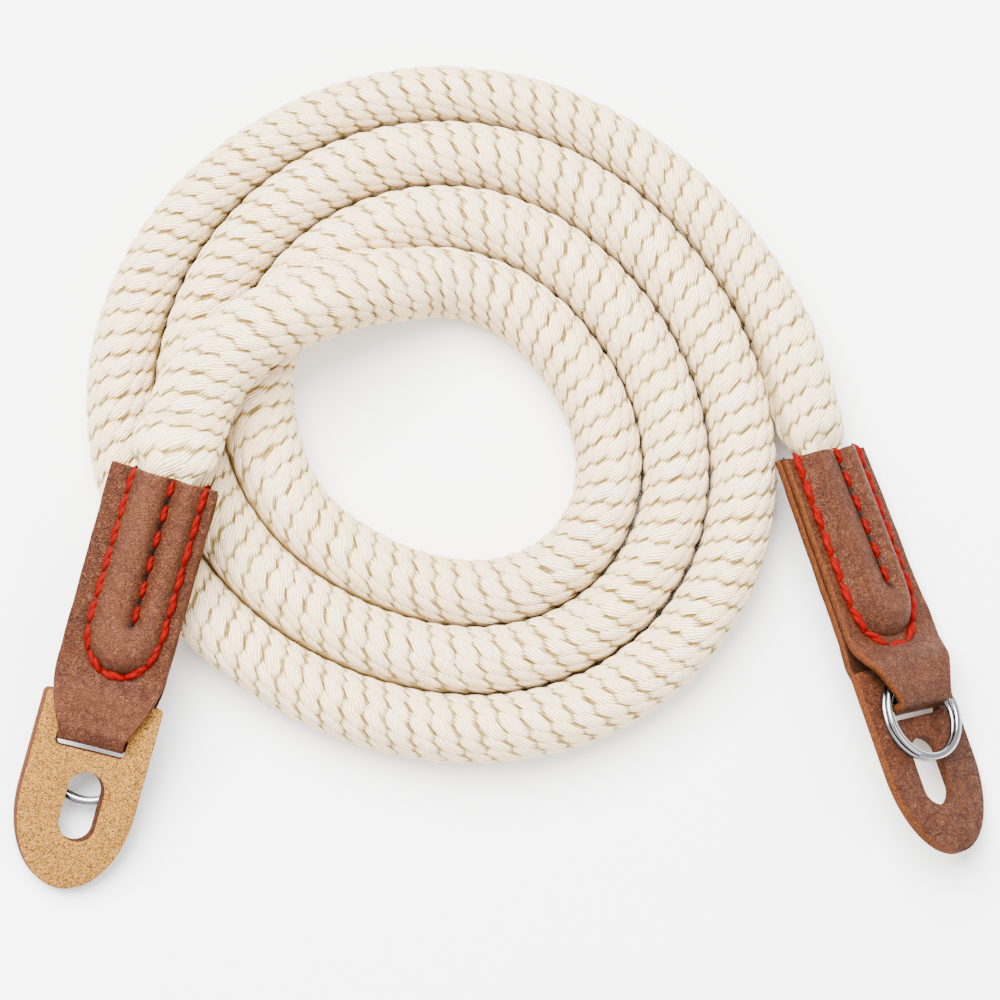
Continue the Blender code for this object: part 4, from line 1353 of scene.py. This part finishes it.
def make_ring(name, side):
    """Spins the flattened section of the wire round two flat coils that step up once."""
    radius = (RING_DIAMETER - RING_WIRE) / 2
    last = 2 * 360 - RING_JOG - RING_END_GAP
    ring = add_primitive(
        name,
        bpy.ops.mesh.primitive_circle_add,
        vertices=WIRE_SIDES,
        radius=RING_WIRE / 2,
        fill_type="NGON",
        location=(radius, 0, 0),
        rotation=(math.pi / 2, 0, 0),
    )
    bpy.ops.object.transform_apply(location=True, rotation=True)
    flatten = {"value": (1, 1, RING_LAYER / RING_WIRE), "center_override": (radius, 0, 0)}
    coil = {"steps": RING_STEPS, "angle": math.radians(last), "center": (0, 0, 0), "axis": (0, 0, -1)}
    steps = [
        (bpy.ops.transform.resize, flatten),
        (bpy.ops.mesh.spin, coil),
        (bpy.ops.mesh.normals_make_consistent, {"inside": False}),
    ]
    in_edit_mode(ring, steps)
    sections = read_points(ring.data).reshape(-1, WIRE_SIDES, 3)
    angle = np.linspace(0, last, RING_STEPS + 1)
    step_ends = 360 - RING_END_GAP / 2
    rise = (RING_LAYER + RING_LAYER_GAP) * (ease(angle, step_ends - RING_JOG, step_ends) - 0.5)
    sections[:, :, 2] += RING_LEVEL + rise[:, None]
    turned = Matrix.Rotation(math.radians(RING_TURNED[side]), 3, "Z")
    points = sections.reshape(-1, 3) @ np.array(turned).T
    points[:, 1] += RING_SLID[side] - RING_MIDDLE
    write_points(ring.data, in_frame(side, points))
    bpy.ops.object.shade_smooth_by_angle(angle=RING_SMOOTH)
    return ring


class STRAP_OT_rings(bpy.types.Operator):
    """Coil the two split rings from flattened wire"""

    bl_idname = "strap.rings"
    bl_label = "Rings"

    def execute(self, context):
        nickel = new_material("bright_nickel_plated_steel", bright_nickel)
        for side in END_FRAMES:
            finish_piece(make_ring(f"split_ring_{side}", side), [nickel], [f"ring_{side}"])
        return {"FINISHED"}


# The stitches

STITCH_SEGMENTS = 8
STITCH_RINGS = 14
STITCH_SEEDS = {"left": 23, "right": 29}
STITCH_TURNS = 1.0  # of the two plies round each other in one stitch
STITCH_STRAY = 0.25  # radians of that twist by which stitches differ
STITCH_ARCH = 0.00038  # how far a stitch's middle stands over the leather
STITCH_DIVE = 0.00045  # how far its ends go down into the holes
STITCH_BENDS = 6  # power on the way to an end: the higher, the later it bends down
STITCH_WIDTHS = (1, 0.72)  # of the outer line and of the sunk seam, as shares of the thread's width
STITCH_LENGTHS = (1.16, 0.76)  # and of the way between their holes
PLY_RADIUS = 0.37  # share of the thread's width
PLY_OFFSET = 0.13  # and from its middle to a ply's
STITCH_FULL = (3.4, 0.25)  # power that keeps a ply full along its length, and how much thinner it ends
STITCH_HOLLOWS = (0.70, 0.97)  # shares of the half length between which painted shade darkens it
FIBRE_WIDTH = 0.0004  # the map's size round a ply and along it
FIBRE_LENGTH = 0.002


def make_stitches(name, side, settings, lines):
    """Copies of one twisted ply, two to a stitch, along the seams on both faces of a tab."""
    ball = add_primitive(
        "stitch",
        bpy.ops.mesh.primitive_uv_sphere_add,
        segments=STITCH_SEGMENTS,
        ring_count=STITCH_RINGS,
        radius=1,
    )
    sphere = read_points(ball.data)
    t = sphere[:, 2]
    rng = np.random.default_rng(STITCH_SEEDS[side])
    rows = []
    for line, thin, short in zip(lines, STITCH_WIDTHS, STITCH_LENGTHS):
        for which in (1, -1):
            for start, end in zip(line, line[1:]):
                for ply in (0, 1):
                    rows.append((*start, *end, which, ply, thin, short))
    rows = np.array(rows)
    start, end = rows[:, 0:2], rows[:, 2:4]
    which, ply, thin, short = (rows[:, i, None] for i in (4, 5, 6, 7))
    along = end - start
    forward = unit(along)
    beside = np.stack([-forward[:, 1], forward[:, 0]], axis=1)
    fullness = np.clip(1 - np.abs(t) ** STITCH_FULL[0], 0, 1) ** 0.5 * (1 - STITCH_FULL[1] * t**2)
    radius = settings.width * PLY_RADIUS * thin * fullness
    offset = settings.width * PLY_OFFSET * thin * fullness
    twist = np.pi * STITCH_TURNS * t + np.pi * ply + rng.normal(0, STITCH_STRAY, (len(rows), 1))
    ring = np.maximum(np.hypot(sphere[:, 0], sphere[:, 1]), 1e-6)
    sideways = radius * sphere[:, 0] / ring + offset * np.cos(twist)
    upwards = radius * sphere[:, 1] / ring + offset * np.sin(twist)
    place = 0.5 + 0.5 * t * short
    base = start[:, None, :] + along[:, None, :] * place[:, :, None]
    flat = base + beside[:, None, :] * sideways[:, :, None]
    moved = on_tab(base[:, :, 0], base[:, :, 1], side) - base[:, :, 0]
    flat[:, :, 0] += moved
    base[:, :, 0] += moved
    lift = LAYER_LEVEL + LEATHER / 2 + ridge(base[:, :, 1], base[:, :, 0], side) - THREAD_SINKS / 2
    arch = STITCH_ARCH - (STITCH_ARCH + STITCH_DIVE) * np.abs(t) ** STITCH_BENDS
    points = np.stack([flat[:, :, 0], -flat[:, :, 1], which * (lift + arch + upwards)], axis=2)
    piece = copies(name, ball.data, in_frame(side, points))
    bpy.data.objects.remove(ball)
    add_attribute(piece.data, "hollow", np.tile(ease(np.abs(t), *STITCH_HOLLOWS), len(rows)))
    turn = np.arctan2(sphere[:, 1], sphere[:, 0])
    fibres = np.stack([FIBRE_WIDTH * turn, FIBRE_LENGTH * t], axis=1)
    fibres = fibres[None] + MAP_SHIFT * rng.random((len(rows), 1, 2))
    add_map(piece.data, "fibres", fibres.reshape(-1, 2))
    return piece


class STRAP_OT_stitches(bpy.types.Operator):
    """Sew both tabs with thick twisted thread"""

    bl_idname = "strap.stitches"
    bl_label = "Stitches"

    def execute(self, context):
        settings = context.scene.strap_stitches
        thread = new_material("waxed_polyester_thread", waxed_thread, settings)
        for side in END_FRAMES:
            stitches = make_stitches(f"stitches_{side}", side, settings, seam_lines(settings, side))
            finish_piece(stitches, [thread])
        return {"FINISHED"}


# The stage

# The camera, as the photograph has it
CAMERA_AIM = Vector((0.00954, -0.01028, 0))  # the point it looks at, from the coil's middle
CAMERA_ELEVATION = 78
CAMERA_DISTANCE = 0.5
CAMERA_LENS_MM = 112.5
CAMERA_SENSOR_MM = 36
CAMERA_CLIP = 0.01
FLOOR_SIZE = 6
SKY_STRENGTH = 1.5
LIGHTS = (("key", (-0.25, 0.38, 0.88), 72.0), ("fill", (0.6, -0.3, 0.8), 11.0))  # place and watts


class STRAP_OT_stage(bpy.types.Operator):
    """Set the pale floor, the soft lights and the camera"""

    bl_idname = "strap.stage"
    bl_label = "Stage"

    def execute(self, context):
        settings = context.scene.strap_stage
        floor = add_primitive("floor", bpy.ops.mesh.primitive_plane_add, size=FLOOR_SIZE)
        floor.data.materials.append(new_material("matt_white_paper", white_paper, settings))
        world = bpy.data.worlds.new("studio")
        world.use_nodes = True
        sky = {"Color": linear("#FFFFFF"), "Strength": SKY_STRENGTH}
        fill(world.node_tree, world.node_tree.nodes["Background"], sky)
        context.scene.world = world
        for name, place, power in LIGHTS:
            data = bpy.data.lights.new(name, "AREA")
            data.shape = "SQUARE"
            data.size = settings.softness
            data.energy = power
            light = bpy.data.objects.new(name, data)
            light.location = place
            light.rotation_euler = (-Vector(place)).to_track_quat("-Z", "Y").to_euler()
            context.scene.collection.objects.link(light)
        data = bpy.data.cameras.new("camera")
        data.lens = CAMERA_LENS_MM
        data.sensor_width = CAMERA_SENSOR_MM
        data.clip_start = CAMERA_CLIP
        camera = bpy.data.objects.new("camera", data)
        tilt = math.radians(CAMERA_ELEVATION)
        back = CAMERA_DISTANCE * Vector((0, -math.cos(tilt), math.sin(tilt)))
        camera.location = COIL_MIDDLE + CAMERA_AIM + back
        camera.rotation_euler = (math.pi / 2 - tilt, 0, 0)
        context.scene.collection.objects.link(camera)
        context.scene.camera = camera
        return {"FINISHED"}


class STRAP_PT_panel(bpy.types.Panel):
    """Lists the strap's sizes, colours and steps"""

    bl_idname = "STRAP_PT_panel"
    bl_label = "Camera Shoulder Strap"
    bl_space_type = "VIEW_3D"
    bl_region_type = "UI"
    bl_category = "Strap"

    def draw(self, context):
        for group in GROUPS:
            settings = getattr(context.scene, group)
            box = self.layout.box()
            for name in settings.bl_rna.properties.keys():
                if name not in ("rna_type", "name"):
                    box.prop(settings, name)
        for operator in OPERATORS:
            self.layout.operator(operator.bl_idname)


GROUPS = {
    "strap_rope": RopeSettings,
    "strap_leather": LeatherSettings,
    "strap_stitches": StitchSettings,
    "strap_stage": StageSettings,
}
OPERATORS = (
    STRAP_OT_stage,
    STRAP_OT_rope,
    STRAP_OT_tabs,
    STRAP_OT_stitches,
    STRAP_OT_guards,
    STRAP_OT_rings,
)


def register():
    for group, settings in GROUPS.items():
        bpy.utils.register_class(settings)
        setattr(bpy.types.Scene, group, bpy.props.PointerProperty(type=settings))
    for made in OPERATORS + (STRAP_PT_panel,):
        bpy.utils.register_class(made)


def unregister():
    for made in reversed(OPERATORS + (STRAP_PT_panel,)):
        bpy.utils.unregister_class(made)
    for group, settings in GROUPS.items():
        delattr(bpy.types.Scene, group)
        bpy.utils.unregister_class(settings)


def main():
    register()
    bpy.ops.object.select_all(action="DESELECT")
    bpy.ops.strap.stage()
    bpy.ops.strap.rope()
    bpy.ops.strap.tabs()
    bpy.ops.strap.stitches()
    bpy.ops.strap.guards()
    bpy.ops.strap.rings()


if __name__ == "__main__":
    main()
